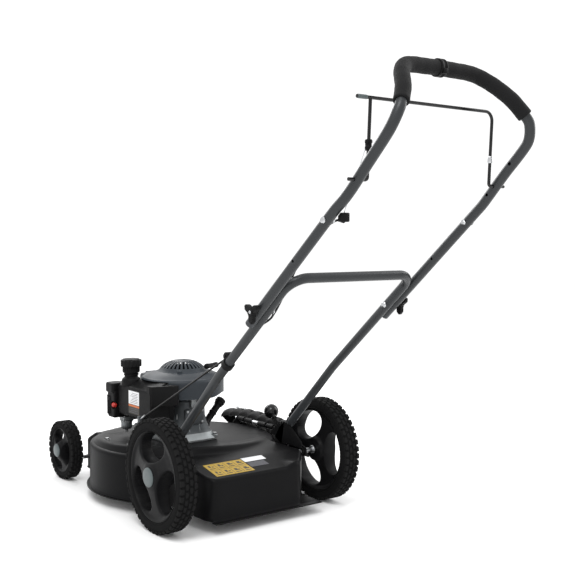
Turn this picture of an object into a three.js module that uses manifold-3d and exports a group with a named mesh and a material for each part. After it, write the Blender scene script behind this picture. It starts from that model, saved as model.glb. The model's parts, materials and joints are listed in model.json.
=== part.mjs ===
// A walk-behind rotary mower with a petrol engine, a round steel deck and a folding handle.
// Millimetres, +Z up, +Y forward, +X to the mower's right. The ground is z = 0.
// Inside this file y = 0 is the rear wheels' axle line; the last lines move the origin to the
// middle of the space that the mower covers on the ground.
import * as THREE from 'three';
import { mergeVertices } from 'three/addons/utils/BufferGeometryUtils.js';
import Module from 'manifold-3d';

const wasm = await Module();
wasm.setup();

// ---- driving dimensions ----
const GAP = 0.3;
const CENTRE = { x: 27.5, y: -27.5 };
const REAR_WHEEL = { radius: 140, rim: 112, width: 47, x: 251.5, y: 0, z: 140, hub: 30 };
const FRONT_WHEEL = { radius: 86.4, rim: 66, width: 38, x: 218, y: 633, z: 86.4, hub: 24 };
const OPENING = { along: 112, across: 74, centre: 72 };
const AXLE_RADIUS = 6.35;
const BLADE_Y = 315;
const DECK = { lip: 272, lipZ: 28, wall: 262, sheet: 3, plane: 147, hole: 24 };
const TUBE = { radius: 11, wall: 1.5, sides: 8 };
const LOWER_X = 177.5;
const UPPER_X = 200;
const FOLD = { y: -347, z: 560.5 };
const BAIL = { y: -662, z: 829, radius: 3.5, x: 172, top: 983 };
const REAR_CRANK = { y: 60, z: 150, x: 190, arm: 4 };
const FRONT_CRANK = { y: 598, z: 64, x: 182 };
const CABLE_RADIUS = 2.5;
const PLATE = { inner: 170.3, outer: 173.3 };

// ---- materials ----
function finish(color, roughness, metalness) {
  return new THREE.MeshStandardMaterial({ color, roughness, metalness });
}

const BLACK_STEEL = finish(0x191a1c, 0.45, 0.5);
const TUBE_PAINT = finish(0x464a4d, 0.4, 0.6);
const SLATE = finish(0x4b5055, 0.45, 0.3);
const CAST = finish(0x8d9092, 0.5, 0.8);
const ZINC = finish(0xb9bcbe, 0.3, 0.9);
const BLADE_STEEL = finish(0x54585b, 0.35, 0.9);
const PLASTIC = finish(0x17181a, 0.5, 0);
const RUBBER = finish(0x141414, 0.85, 0);
const FOAM = finish(0x1a1a1b, 0.9, 0);
const CAP_GREY = finish(0x5f696a, 0.5, 0);
const PRIMER_RED = finish(0xb5231d, 0.4, 0);

// ---- building blocks ----
// Welds a closed geometry, drops its zero-area triangles and turns its faces outward.
function weld(geometry) {
  const bare = geometry.index ? geometry.clone() : geometry;
  bare.deleteAttribute('normal');
  bare.deleteAttribute('uv');
  const merged = mergeVertices(bare, 1e-4);
  const at = merged.attributes.position;
  const index = [];
  let volume = 0;
  for (let i = 0; i < merged.index.count; i += 3) {
    const corner = [0, 1, 2].map((k) => merged.index.getX(i + k));
    if (new Set(corner).size < 3) continue;
    const [a, b, c] = corner.map((k) => new THREE.Vector3().fromBufferAttribute(at, k));
    volume += a.dot(b.cross(c));
    index.push(...corner);
  }
  if (volume < 0) index.reverse();
  merged.setIndex(index);
  return merged;
}

function solid(geometry) {
  const welded = weld(geometry);
  const vertProperties = new Float32Array(welded.attributes.position.array);
  const triVerts = new Uint32Array(welded.index.array);
  return new wasm.Manifold(new wasm.Mesh({ numProp: 3, vertProperties, triVerts }));
}

const join = (first, ...rest) => rest.reduce((whole, piece) => whole.add(piece), first);
const cut = (first, ...rest) => rest.reduce((whole, piece) => whole.subtract(piece), first);

function part(name, body, material) {
  const { vertProperties, triVerts } = body.getMesh();
  const geometry = new THREE.BufferGeometry();
  geometry.setAttribute('position', new THREE.BufferAttribute(vertProperties, 3));
  geometry.setIndex(new THREE.BufferAttribute(triVerts, 1));
  const mesh = new THREE.Mesh(geometry, material);
  mesh.name = name;
  return mesh;
}

// A [radius, height] outline turned about Z or X; an outline off the axis is closed on itself.
function turned(outline, sides, axis = 'z', phase = 0) {
  const points = outline.map(([radius, height]) => new THREE.Vector2(radius, height));
  if (outline[0][0] > 0) points.push(points[0].clone());
  const geometry = new THREE.LatheGeometry(points, sides);
  geometry.rotateY(phase);
  if (axis === 'z') geometry.rotateX(Math.PI / 2);
  if (axis === 'x') geometry.rotateZ(-Math.PI / 2);
  return solid(geometry);
}

function outlineShape(points) {
  return new THREE.Shape(points.map(([u, v]) => new THREE.Vector2(u, v)));
}

function extruded(points, depth) {
  return new THREE.ExtrudeGeometry(outlineShape(points), { depth, bevelEnabled: false });
}

// A flat outline in (x, y) with a thickness from low to high in z.
function slab(points, low, high) {
  const geometry = extruded(points, high - low);
  geometry.translate(0, 0, low);
  return solid(geometry);
}

// A flat outline in (y, z) with a thickness from low to high in x.
function sidePlate(points, low, high) {
  const geometry = extruded(points, high - low);
  const turn = new THREE.Matrix4().makeBasis(
    new THREE.Vector3(0, 1, 0),
    new THREE.Vector3(0, 0, 1),
    new THREE.Vector3(1, 0, 0),
  );
  geometry.applyMatrix4(turn);
  geometry.translate(low, 0, 0);
  return solid(geometry);
}

function block(low, high) {
  const size = high.map((value, k) => value - low[k]);
  const geometry = new THREE.BoxGeometry(...size);
  geometry.translate(...low.map((value, k) => value + size[k] / 2));
  return solid(geometry);
}

function rod(from, to, radius, sides = 12, endRadius = radius) {
  const start = new THREE.Vector3(...from);
  const along = new THREE.Vector3(...to).sub(start);
  const geometry = new THREE.CylinderGeometry(endRadius, radius, along.length(), sides);
  geometry.translate(0, along.length() / 2, 0);
  const up = new THREE.Vector3(0, 1, 0);
  geometry.applyQuaternion(new THREE.Quaternion().setFromUnitVectors(up, along.clone().normalize()));
  geometry.translate(...from);
  return solid(geometry);
}

function ball(centre, radius, sides = 14) {
  const geometry = new THREE.SphereGeometry(radius, sides, Math.round(sides * 0.6));
  geometry.translate(...centre);
  return solid(geometry);
}

// A route whose extrusion steps fall exactly on its own points.
class Route extends THREE.Curve {
  constructor(points) {
    super();
    this.points = points.map((point) => new THREE.Vector3(...point));
  }

  getPoint(t, target = new THREE.Vector3()) {
    const place = t * (this.points.length - 1);
    const k = Math.min(Math.floor(place), this.points.length - 2);
    return target.copy(this.points[k]).lerp(this.points[k + 1], place - k);
  }

  getPointAt(u, target) {
    return this.getPoint(u, target);
  }

  getTangentAt(u, target = new THREE.Vector3()) {
    const last = this.points.length - 1;
    const k = Math.round(u * last);
    const after = this.points[Math.min(k + 1, last)];
    const before = this.points[Math.max(k - 1, 0)];
    return target.copy(after).sub(before).normalize();
  }
}

function circle(radius, sides) {
  const turn = (k) => (2 * Math.PI * k) / sides;
  const points = [];
  for (let k = 0; k < sides; k += 1) {
    points.push(new THREE.Vector2(radius * Math.cos(turn(k)), radius * Math.sin(turn(k))));
  }
  return points;
}

// A round bar, or a tube when inner is given, along a list of points.
function tube(points, radius, sides, inner = 0) {
  const shape = new THREE.Shape(circle(radius, sides));
  if (inner > 0) shape.holes.push(new THREE.Path(circle(inner, sides).reverse()));
  const settings = { steps: points.length - 1, bevelEnabled: false, extrudePath: new Route(points) };
  return solid(new THREE.ExtrudeGeometry(shape, settings));
}

// Rounds the corner points of a bent bar, each with its own bend radius.
function bent(corners, radii, steps = 4) {
  const out = [corners[0]];
  for (let k = 1; k < corners.length - 1; k += 1) {
    const at = new THREE.Vector3(...corners[k]);
    const back = new THREE.Vector3(...corners[k - 1]).sub(at).normalize();
    const ahead = new THREE.Vector3(...corners[k + 1]).sub(at).normalize();
    const half = back.angleTo(ahead) / 2;
    const reach = radii[k - 1] / Math.tan(half);
    const inward = back.clone().add(ahead).normalize();
    const centre = at.clone().addScaledVector(inward, radii[k - 1] / Math.sin(half));
    const first = at.clone().addScaledVector(back, reach).sub(centre);
    const last = at.clone().addScaledVector(ahead, reach).sub(centre);
    const sweep = Math.PI - 2 * half;
    for (let j = 0; j <= steps; j += 1) {
      const share = j / steps;
      const arc = first.clone().multiplyScalar(Math.sin((1 - share) * sweep));
      arc.addScaledVector(last, Math.sin(share * sweep)).divideScalar(Math.sin(sweep));
      out.push(arc.add(centre).toArray());
    }
  }
  out.push(corners[corners.length - 1]);
  return out;
}

const mirrored = (points) => points.map(([x, y, z]) => [-x, y, z]);

// ---- wheels ----
const WHEEL_SIDES = 24;

function tyre(wheel, name) {
  const tread = wheel.radius / Math.cos(Math.PI / WHEEL_SIDES);
  const half = wheel.width / 2;
  const outline = [
    [wheel.rim, -half],
    [wheel.rim, half],
    [tread - 8, half],
    [tread, half - 8],
    [tread, -half + 8],
    [tread - 8, -half],
  ];
  return part(name, turned(outline, WHEEL_SIDES, 'x', Math.PI / WHEEL_SIDES), RUBBER);
}

// side is +1 on the right and -1 on the left: the hub bulges outward.
// Three oval openings; the first one stands at the given angle from straight up towards the front.
function rim(wheel, name, side, firstOpening) {
  const scale = wheel.rim / REAR_WHEEL.rim;
  const half = wheel.width / 2;
  const outer = wheel.rim - GAP;
  const bore = AXLE_RADIUS + 0.5;
  const outline = [
    [bore, -half],
    [wheel.hub, -half],
    [wheel.hub + 4, -half * 0.6],
    [outer - 8 * scale, -half * 0.6],
    [outer, -half + 2],
    [outer, half - 2],
    [outer - 12 * scale, half - 5],
    [wheel.hub, half + 7],
    [bore, half + 8],
  ];
  const body = turned(outline.map(([r, h]) => [r, side * h]), WHEEL_SIDES, 'x', Math.PI / WHEEL_SIDES);
  const openings = [];
  for (let k = 0; k < 3; k += 1) {
    const angle = firstOpening + (2 * Math.PI * k) / 3;
    const reach = OPENING.centre * scale;
    const oval = new THREE.CylinderGeometry(1, 1, 3 * wheel.width, 10);
    oval.rotateZ(Math.PI / 2);
    oval.scale(1, (OPENING.along * scale) / 2, (OPENING.across * scale) / 2);
    oval.rotateX(-angle);
    oval.translate(0, reach * Math.sin(angle), reach * Math.cos(angle));
    openings.push(solid(oval));
  }
  return part(name, cut(body, ...openings), PLASTIC);
}

function hubCap(wheel, name, side) {
  const face = wheel.width / 2 + 8 + GAP;
  const radius = wheel.hub * 0.8;
  const dome = [[radius, face + 2], [radius * 0.6, face + 5.5], [0, face + 6.5]];
  const outline = [[0, face], [radius, face], ...dome];
  return part(name, turned(outline.map(([r, h]) => [r, side * h]), 20, 'x'), CAP_GREY);
}

function wheelSet(wheel, prefix, side, firstOpening) {
  const group = new THREE.Group();
  group.position.set(side * wheel.x, wheel.y, wheel.z);
  group.add(tyre(wheel, `${prefix}_tyre`));
  group.add(rim(wheel, `${prefix}_rim`, side, firstOpening));
  group.add(hubCap(wheel, `${prefix}_hub_cap`, side));
  return group;
}

// ---- deck ----
const LUGS = [217, 413];
const DEFLECTOR = { x: 257, z: 160, rod: 4, knuckle: 8, from: 165, to: 512 };

// An extension of the round deck: a plan outline under a side outline, hollow from below.
function extension(plan, side, innerPlan, innerSide) {
  const outer = slab(plan, 0, 200).intersect(sidePlate(side, -300, 300));
  const inner = slab(innerPlan, 0, 200).intersect(sidePlate(innerSide, -300, 300));
  return outer.subtract(inner);
}

function deckShell() {
  const { lip, lipZ, wall, sheet, plane, hole } = DECK;
  const outline = [
    [hole, plane],
    [150, plane],
    [205, 154],
    [232, 162],
    [245, 156],
    [250, 151],
    [257, 148],
    [wall, 138],
    [wall, lipZ + sheet + 3],
    [lip, lipZ + sheet],
    [lip, lipZ],
    [wall - sheet, lipZ],
    [wall - sheet, 136],
    [255, 145],
    [247, 148],
    [242, 153],
    [231, 159],
    [205, 151],
    [150, plane - sheet],
    [hole, plane - sheet],
  ];
  const round = turned(outline, 36).translate(0, BLADE_Y, 0);
  const rear = extension(
    [[-157, -102], [104, -102], [170, -22], [170, 150], [-170, 150], [-170, -78]],
    [[-102, 28], [160, 28], [160, 152], [-15, 151], [-95, 134], [-102, 131]],
    [[-155.5, -99], [102.5, -99], [167, -21], [167, 151], [-167, 151], [-167, -77]],
    [[-99, 10], [161, 10], [161, 149], [-14.5, 148], [-93.5, 131], [-99, 129]],
  );
  const front = extension(
    [[-165, 470], [165, 470], [165, 600], [152, 612], [-152, 612], [-165, 600]],
    [[470, 28], [612, 28], [612, 108], [600, 118], [540, 146], [470, 150]],
    [[-162, 469], [162, 469], [162, 599], [151, 609], [-151, 609], [-162, 599]],
    [[469, 10], [609, 10], [609, 107], [598.5, 115.5], [539.5, 143], [469, 147]],
  );
  const chamber = rod([0, BLADE_Y, 0], [0, BLADE_Y, 200], wall - sheet / 2, 36);
  const rearFlange = block([-165, -118, 28], [165, -100, 31]);
  const lugs = LUGS.map((y) => block([236, y - 2, 140], [263.5, y + 2, 166.5]));
  const shell = join(round, cut(join(rear, front), chamber), rearFlange, ...lugs);
  return cut(
    shell,
    block([196, 185, 10], [300, 445, 132]),
    block([-180, -11, 80], [-160, 42, 147.6]),
    block([160, -11, 80], [180, 42, 147.6]),
    rod([-180, FRONT_CRANK.y, FRONT_CRANK.z], [180, FRONT_CRANK.y, FRONT_CRANK.z], AXLE_RADIUS + 0.5, 16),
    rod([DEFLECTOR.x, 150, DEFLECTOR.z], [DEFLECTOR.x, 480, DEFLECTOR.z], DEFLECTOR.rod + 0.3, 12),
  );
}

// ---- discharge deflector on the right ----
// An outline in (x, z) with a thickness from low to high in y.
function crossPlate(points, low, high) {
  const geometry = extruded(points, high - low);
  const turn = new THREE.Matrix4().makeBasis(
    new THREE.Vector3(1, 0, 0),
    new THREE.Vector3(0, 0, 1),
    new THREE.Vector3(0, -1, 0),
  );
  geometry.applyMatrix4(turn);
  geometry.translate(0, high, 0);
  return solid(geometry);
}

function deflector() {
  const { x, z, rod: pin, knuckle, from, to } = DEFLECTOR;
  const top = [[261, 165], [266, 180], [279, 189], [297, 184], [319, 160], [338, 115], [345, 70]];
  const under = [[342, 70], [335, 114], [316.5, 158], [295.5, 181], [279.5, 185.6], [268, 178], [264, 164]];
  const hood = crossPlate([...top, ...under], from, to);
  const ends = [from, to - 3].map((y) => crossPlate([...top, [262, 150]], y, y + 3));
  const sleeve = rod([x, 225, z], [x, 405, z], knuckle, 14);
  const window = block([x - 12, 299, z - 12], [x + 9, 331, z + 12]);
  const bore = rod([x, 200, z], [x, 430, z], pin + 0.4, 14);
  const coil = rod([x, 298, z], [x, 332, z], 7.4, 14);
  const besideLugs = LUGS.map((y) => block([x - 30, y - 3.5, z - 30], [x + 11, y + 3.5, z + 12]));
  return cut(join(hood, ...ends, cut(sleeve, window)), bore, coil, ...besideLugs);
}

function deflectorSpring() {
  const { x, z, rod: pin } = DEFLECTOR;
  return cut(rod([x, 300, z], [x, 330, z], 6.6, 14), rod([x, 290, z], [x, 340, z], pin + 0.4, 14));
}

// ---- handle brackets ----
// A point in (y, z) at an angle and a distance from the pivot of the rear height lever.
function fromPivot(angle, radius) {
  return [REAR_CRANK.y + radius * Math.cos(angle), REAR_CRANK.z + radius * Math.sin(angle)];
}

const LEVER_ANGLE = 34.8 * (Math.PI / 180);
const NOTCH_STEP = 10 * (Math.PI / 180);
const LEG_BOLT = { y: 50, z: 201.3, radius: 4 };
const QUADRANT = { radius: 64, notches: 61, pin: 56 };

function handleBracket(side) {
  const plate = sidePlate(
    [[48, 105], [100, 105], [100, 165], [80, 196], [58, 214], [30, 206], [-20, 168], [-20, 154], [48, 154]],
    PLATE.inner,
    PLATE.outer,
  );
  const pivot = rod([PLATE.outer - 1, REAR_CRANK.y, REAR_CRANK.z], [201, REAR_CRANK.y, REAR_CRANK.z], 5, 12);
  const { y, z, radius } = LEG_BOLT;
  const stud = rod([PLATE.outer - 1, y, z], [187, y, z], radius, 10);
  const nut = rod([179.2, y, z], [185, y, z], 7.5, 6);
  let bracket = join(plate, pivot, stud, nut);
  if (side > 0) {
    const sector = [fromPivot(-0.1, 10)];
    for (let k = 0; k <= 9; k += 1) sector.push(fromPivot(0.42 + (k * 1.2) / 9, QUADRANT.radius));
    const quadrant = sidePlate(sector, PLATE.inner, PLATE.outer);
    const notches = [];
    for (let k = 0; k < 6; k += 1) {
      const [notchY, notchZ] = fromPivot(LEVER_ANGLE + k * NOTCH_STEP, QUADRANT.notches);
      notches.push(rod([160, notchY, notchZ], [180, notchY, notchZ], 4, 8));
    }
    bracket = cut(join(bracket, quadrant), ...notches);
  }
  return side > 0 ? bracket : bracket.mirror([1, 0, 0]);
}

// ---- rear height adjuster ----
function rearAxle() {
  const { y, z, x, arm } = REAR_CRANK;
  const end = REAR_WHEEL.x + REAR_WHEEL.width / 2 + 6;
  const bar = rod([-end, 0, REAR_WHEEL.z], [end, 0, REAR_WHEEL.z], AXLE_RADIUS);
  const outline = [[-12, 128], [0, 126], [62, 136], [74, 150], [60, 164], [-2, 154], [-13, 142]];
  const hole = rod([-300, y, z], [300, y, z], 5.4, 16);
  const arms = [sidePlate(outline, x, x + arm), sidePlate(outline, -x - arm, -x)];
  return cut(join(bar, ...arms), hole);
}

function rearHeightLever() {
  const { y, z, x, arm } = REAR_CRANK;
  const near = x + arm + GAP;
  const across = [-Math.sin(LEVER_ANGLE), Math.cos(LEVER_ANGLE)];
  const edge = (along, offset) => {
    const [u, v] = fromPivot(LEVER_ANGLE, along);
    return [u + offset * across[0], v + offset * across[1]];
  };
  const outline = [edge(-12, -8), edge(4, -13), edge(108, -6), edge(108, 6), edge(4, 13), edge(-12, 8)];
  const blade = sidePlate(outline, near, near + 3);
  const [pinY, pinZ] = fromPivot(LEVER_ANGLE, QUADRANT.pin);
  const pin = rod([PLATE.outer + 0.6, pinY, pinZ], [near + 1, pinY, pinZ], 3, 8);
  return cut(join(blade, pin), rod([180, y, z], [210, y, z], 5.4, 16));
}

function ballKnob() {
  const [y, z] = fromPivot(LEVER_ANGLE, 128);
  return ball([205, y, z], 21);
}

// ---- front axle: one cranked rod ----
function frontAxle() {
  const { y, z, x } = FRONT_CRANK;
  const end = FRONT_WHEEL.x + FRONT_WHEEL.width / 2 + 5;
  const hub = [FRONT_WHEEL.y, FRONT_WHEEL.z];
  const corners = [[-end, ...hub], [-x - 10, ...hub], [-x, y, z], [x, y, z], [x + 10, ...hub], [end, ...hub]];
  return tube(bent(corners, [7, 7, 7, 7], 2), AXLE_RADIUS, 12);
}

function frontHeightLever() {
  const { y, z } = FRONT_CRANK;
  const foot = [[y - 14, z - 4], [y, z - 13], [y + 13, z]];
  const blade = sidePlate([...foot, [574, 178], [560, 182], [y - 13, z + 8]], 169, 172);
  const grip = cut(ball([170.5, 566, 188], 13, 12), block([150, 500, 100], [190, 600, 179]));
  return cut(join(blade, grip), rod([160, y, z], [180, y, z], AXLE_RADIUS + 0.5, 16));
}

// ---- engine, around the crankshaft axis ----
const CRANKCASE = [[0, 147.3], [100, 147.3], [100, 156], [88, 160], [64, 176], [62, 262], [0, 262]];

function grown(outline, by) {
  return outline.map(([radius, height]) => [radius > 0 ? radius + by : 0, height]);
}

function crankcase() {
  const body = turned(CRANKCASE, 24);
  const barrel = block([-38, 40, 170], [38, 128, 256]);
  const head = block([-44, 122, 166], [44, 138, 260]);
  const fins = [];
  for (let k = 0; k < 5; k += 1) fins.push(block([-50, 56 + 13 * k, 162], [50, 59 + 13 * k, 262]));
  return cut(join(body, barrel, head, ...fins), rod([0, 0, 100], [0, 0, 300], 13.2, 24));
}

function tankSpace(margin) {
  const low = [-150 - margin, -80 - margin, 217 - margin];
  return block(low, [-90 + margin, 105 + margin, 322 + margin]);
}

function blowerShroud() {
  const outer = turned([[0, 275], [118, 275], [118, 314], [108, 326], [66, 342], [0, 342]], 28);
  const innerTop = [[115.5, 313], [107, 323.5], [65.5, 339.5], [0, 339.5]];
  const inner = turned([[0, 260], [115.5, 260], ...innerTop], 28);
  const hood = block([-64, 60, 275], [64, 150, 326]);
  const hoodSpace = block([-61.5, 50, 260], [61.5, 147.5, 323.5]);
  const shell = cut(join(outer, hood), inner, hoodSpace);
  return cut(shell, tankSpace(1), rod([0, 0, 300], [0, 0, 360], 66, 32));
}

function starterHousing() {
  const outer = [[0, 374], [30, 373], [54, 366], [67, 354], [72, 342.3]];
  const inner = [[69, 342.3], [64.5, 352], [52, 363.5], [29, 370], [0, 370.5]];
  const slots = [];
  for (let k = 0; k < 8; k += 1) {
    const slot = new THREE.BoxGeometry(30, 9, 40);
    slot.translate(46, 0, 365);
    slot.rotateZ((2 * Math.PI * k) / 8);
    slots.push(solid(slot));
  }
  return cut(turned([...outer, ...inner], 24), ...slots);
}

function crankshaft() {
  const upper = [[12.7, 144], [12.7, 262], [10, 268], [10, 330], [0, 330]];
  return turned([[0, 64.3], [11, 64.3], [11, 140], ...upper], 20);
}

function flywheel() {
  const disc = turned([[10.4, 272], [85, 272], [85, 294], [70, 298], [10.4, 298]], 20);
  const vanes = [];
  for (let k = 0; k < 8; k += 1) {
    const vane = new THREE.BoxGeometry(26, 3, 16);
    vane.translate(66, 0, 303);
    vane.rotateZ((2 * Math.PI * k) / 8);
    vanes.push(solid(vane));
  }
  return join(disc, ...vanes);
}

function bladeAdapter() {
  const flange = [[5.4, 49.3], [32, 49.3], [32, 55]];
  return turned([...flange, [18, 58], [18, 90], [11.4, 90], [11.4, 64], [5.4, 64]], 20);
}

function cuttingBlade() {
  const edge = [[-250, -24], [-165, -28], [165, -28], [250, -20]];
  const arm = [...edge, ...edge.map(([x, y]) => [-x, -y])];
  const lifts = [block([188, 14, 48], [249, 21, 61]), block([-249, -21, 48], [-188, -14, 61])];
  return cut(join(slab(arm, 45, 49), ...lifts), rod([0, 0, 30], [0, 0, 60], 5.4, 16));
}

function bladeBolt() {
  return join(rod([0, 0, 37], [0, 0, 44.7], 10, 6), rod([0, 0, 43], [0, 0, 64], 5, 12));
}

const NECK = { x: -124, y: 75, top: 338 };

// The tank slopes down outward, and its rear lobe reaches round the blower shroud.
function fuelTank() {
  const upper = crossPlate([[-150, 217], [-90, 217], [-90, 322], [-104, 322], [-150, 303]], -80, 105);
  const lower = block([-92, -80, 217], [-66, 105, 262]);
  const wrap = slab([[-150, -76], [-150, -81], [-75, -106], [-68, -100], [-75, -76]], 262, 318);
  const lobe = cut(wrap, rod([0, 0, 200], [0, 0, 400], 119.5, 36));
  const neck = rod([NECK.x, NECK.y, 298], [NECK.x, NECK.y, NECK.top], 19, 20);
  const hollow = join(
    crossPlate([[-147, 220], [-93, 220], [-93, 319], [-104.6, 319], [-147, 301.5]], -77, 102),
    block([-94, -77, 220], [-69, 102, 259]),
    rod([NECK.x, NECK.y, 290], [NECK.x, NECK.y, NECK.top + 4], 15, 16),
  );
  return cut(join(upper, lower, lobe, neck), hollow);
}

// Heights count from the top of the tank's neck.
function fuelCap() {
  const skirt = [[0, GAP], [19, GAP], [19, 16], [26, 18]];
  const top = turned([...skirt, [30, 22], [30, 36], [26, 40], [0, 40]], 24);
  return join(top, rod([0, 0, -10], [0, 0, 1], 13, 16)).translate(NECK.x, NECK.y, NECK.top);
}

const PRIMER = { x: -151, y: 119, z: 242, radius: 8 };

function airCleanerCover() {
  const { x, y, z, radius } = PRIMER;
  const well = rod([x + 7, y, z], [-170, y, z], radius + 0.6, 16);
  return cut(block([-165, 110, 205], [-122.3, 160, 305]), well);
}

function primerBulb() {
  const dome = [[0, 0], [PRIMER.radius, 0], [PRIMER.radius, 6], [6, 10], [0, 12]];
  const outward = dome.map(([radius, height]) => [radius, -height]);
  return turned(outward, 16, 'x').translate(PRIMER.x, PRIMER.y, PRIMER.z);
}

function carburettor() {
  const bowl = rod([-114, 125, 166], [-114, 125, 193], 16, 16);
  const body = block([-130, 112, 192], [-98, 138, 204.7]);
  return join(bowl, body, rod([-100, 125, 198], [-44.3, 125, 198], 6.5, 10));
}

function oilFillerTube() {
  const pipe = rod([48, -24, 170], [122, -4, 236], 11, 16);
  return cut(pipe, turned(grown(CRANKCASE, GAP), 24));
}

function oilCap() {
  const along = new THREE.Vector3(74, 20, 66).normalize();
  const start = new THREE.Vector3(122, -4, 236).addScaledVector(along, GAP);
  const end = start.clone().addScaledVector(along, 13);
  return rod(start.toArray(), end.toArray(), 15, 12);
}

function starterGrip() {
  const grip = rod([36, -66, 357], [86, -50, 357], 8, 12);
  return join(grip, rod([52, -50, 357], [61, -58, 357], 5, 10));
}

const BRAKE = { x: -105, y: 5, z: 205 };

function brakeBracket() {
  const outline = [[-50, -14], [-118, -18], [-150, -44], [-164, -44], [-164, -32], [-122, 14], [-50, 14]];
  const clamp = block([-164, -44, 197], [-150, -34, 234]);
  const stud = rod([BRAKE.x, BRAKE.y, 198], [BRAKE.x, BRAKE.y, 212], 3, 10);
  return cut(join(slab(outline, 196, 199), clamp, stud), turned(grown(CRANKCASE, GAP), 24));
}

function brakeLever() {
  const { x, y, z } = BRAKE;
  const tip = [[-153, -18], [-160, -9], [-153, -3]];
  const arm = slab([[x + 9, y - 5], [x - 2, y - 10], ...tip, [x - 4, y + 9], [x + 9, y + 6]], z, z + 4);
  return cut(arm, rod([x, y, 190], [x, y, 220], 3.4, 16));
}

function engine() {
  const group = new THREE.Group();
  group.position.set(0, BLADE_Y, 0);
  group.add(part('crankcase', crankcase(), CAST));
  group.add(part('blower_shroud', blowerShroud(), SLATE));
  group.add(part('starter_housing', starterHousing(), SLATE));
  group.add(part('crankshaft', crankshaft(), ZINC));
  group.add(part('flywheel', flywheel(), CAST));
  group.add(part('blade_adapter', bladeAdapter(), ZINC));
  group.add(part('blade', cuttingBlade(), BLADE_STEEL));
  group.add(part('blade_bolt', bladeBolt(), ZINC));
  group.add(part('fuel_tank', fuelTank(), PLASTIC));
  group.add(part('fuel_cap', fuelCap(), PLASTIC));
  group.add(part('air_cleaner_base', block([-122, 110, 205], [-100, 160, 303]), PLASTIC));
  group.add(part('air_cleaner_cover', airCleanerCover(), PLASTIC));
  group.add(part('primer_bulb', primerBulb(), PRIMER_RED));
  group.add(part('carburettor', carburettor(), CAST));
  group.add(part('muffler', block([53, 62, 178], [112, 132, 246]), BLACK_STEEL));
  group.add(part('spark_plug', rod([0, 138.3, 213], [0, 158, 213], 7, 6), ZINC));
  group.add(part('plug_boot', rod([0, 158.3, 213], [0, 184, 213], 9, 12), RUBBER));
  group.add(part('oil_filler_tube', oilFillerTube(), PLASTIC));
  group.add(part('oil_cap', oilCap(), PLASTIC));
  group.add(part('starter_grip', starterGrip(), PLASTIC));
  group.add(part('brake_bracket', brakeBracket(), ZINC));
  group.add(part('brake_lever', brakeLever(), ZINC));
  return group;
}

// ---- handle ----
const LEG_START = [LOWER_X, 33.5, 217];
const LEG_BEND = [LOWER_X, -145, 389];
const CROSSBAR = { y: -434, z: 634.4, bend: 45 };
const LEG_SLOPE = [0, -202, 171.5];

function lowerHandle() {
  const corner = [LOWER_X, CROSSBAR.y, CROSSBAR.z];
  const right = [LEG_START, LEG_BEND, corner];
  const corners = [...mirrored(right), ...right.reverse()];
  const route = bent(corners, [60, CROSSBAR.bend, CROSSBAR.bend, 60]);
  const whole = tube(route, TUBE.radius, TUBE.sides, TUBE.radius - TUBE.wall);
  const foot = sidePlate([[72, 193], [57, 178], [14, 219], [29, 235]], PLATE.outer + GAP, 178.6);
  const bolts = rod([-220, FOLD.y, FOLD.z], [220, FOLD.y, FOLD.z], 4.4, 12);
  const studs = rod([-220, LEG_BOLT.y, LEG_BOLT.z], [220, LEG_BOLT.y, LEG_BOLT.z], LEG_BOLT.radius + 0.4, 12);
  return cut(join(whole, foot, foot.mirror([1, 0, 0])), bolts, studs);
}

// Left half of the upper tube, from its lower end up to the top; the grip starts at GRIP_FROM.
const UPPER_HALF = [
  [-200, -312, 530.8],
  [-200, -600, 773],
  [-198, -624, 792],
  [-196, -646, 813],
  [-195, -688, 856],
  [-195, -730, 897],
  [-193, -749, 920],
  [-184, -758, 948],
  [-174, -755, 966],
  [-154, -739, 996],
  [-140, -722, 1016],
  [-125, -705, 1033],
  [-102, -689, 1048],
  [-75, -684, 1053],
  [-45, -682, 1054],
  [-11, -680.5, 1055],
];
const GRIP_FROM = 8;

function upperHandle() {
  const route = [...UPPER_HALF, ...mirrored(UPPER_HALF).reverse()];
  const whole = tube(route, TUBE.radius, TUBE.sides, TUBE.radius - TUBE.wall);
  return cut(
    whole,
    rod([-220, FOLD.y, FOLD.z], [220, FOLD.y, FOLD.z], 4.4, 12),
    rod([-220, BAIL.y, BAIL.z], [220, BAIL.y, BAIL.z], BAIL.radius + 0.5, 12),
    rod([-220, GUIDE.y, GUIDE.z], [220, GUIDE.y, GUIDE.z], GUIDE.radius + 0.4, 12),
  );
}

function foamGrip() {
  const half = UPPER_HALF.slice(GRIP_FROM);
  const route = [...half, ...mirrored(half).reverse()];
  const top = UPPER_HALF[UPPER_HALF.length - 1];
  const sleeve = tube(route, 16, TUBE.sides, TUBE.radius + 1);
  const collar = cut(
    rod([-10, top[1], top[2]], [10, top[1], top[2]], 18.5, 16),
    rod([-12, top[1], top[2]], [12, top[1], top[2]], 14, 16),
  );
  return join(sleeve, collar);
}

const GUIDE = { y: -578, z: 754.3, radius: 3.5 };

function guideBolt(side) {
  const { y, z, radius } = GUIDE;
  const shank = rod([side * 184, y, z], [side * 214, y, z], radius, 10);
  const head = rod([side * 211.5, y, z], [side * 216, y, z], 7, 12);
  const nut = rod([side * 184, y, z], [side * 188.5, y, z], 6, 6);
  return join(shank, head, nut);
}

function foldBolt(side) {
  const shank = rod([side * 163, FOLD.y, FOLD.z], [side * 226, FOLD.y, FOLD.z], 3.9, 12);
  return join(shank, rod([side * 160.5, FOLD.y, FOLD.z], [side * 166, FOLD.y, FOLD.z], 7.5, 12));
}

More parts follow.
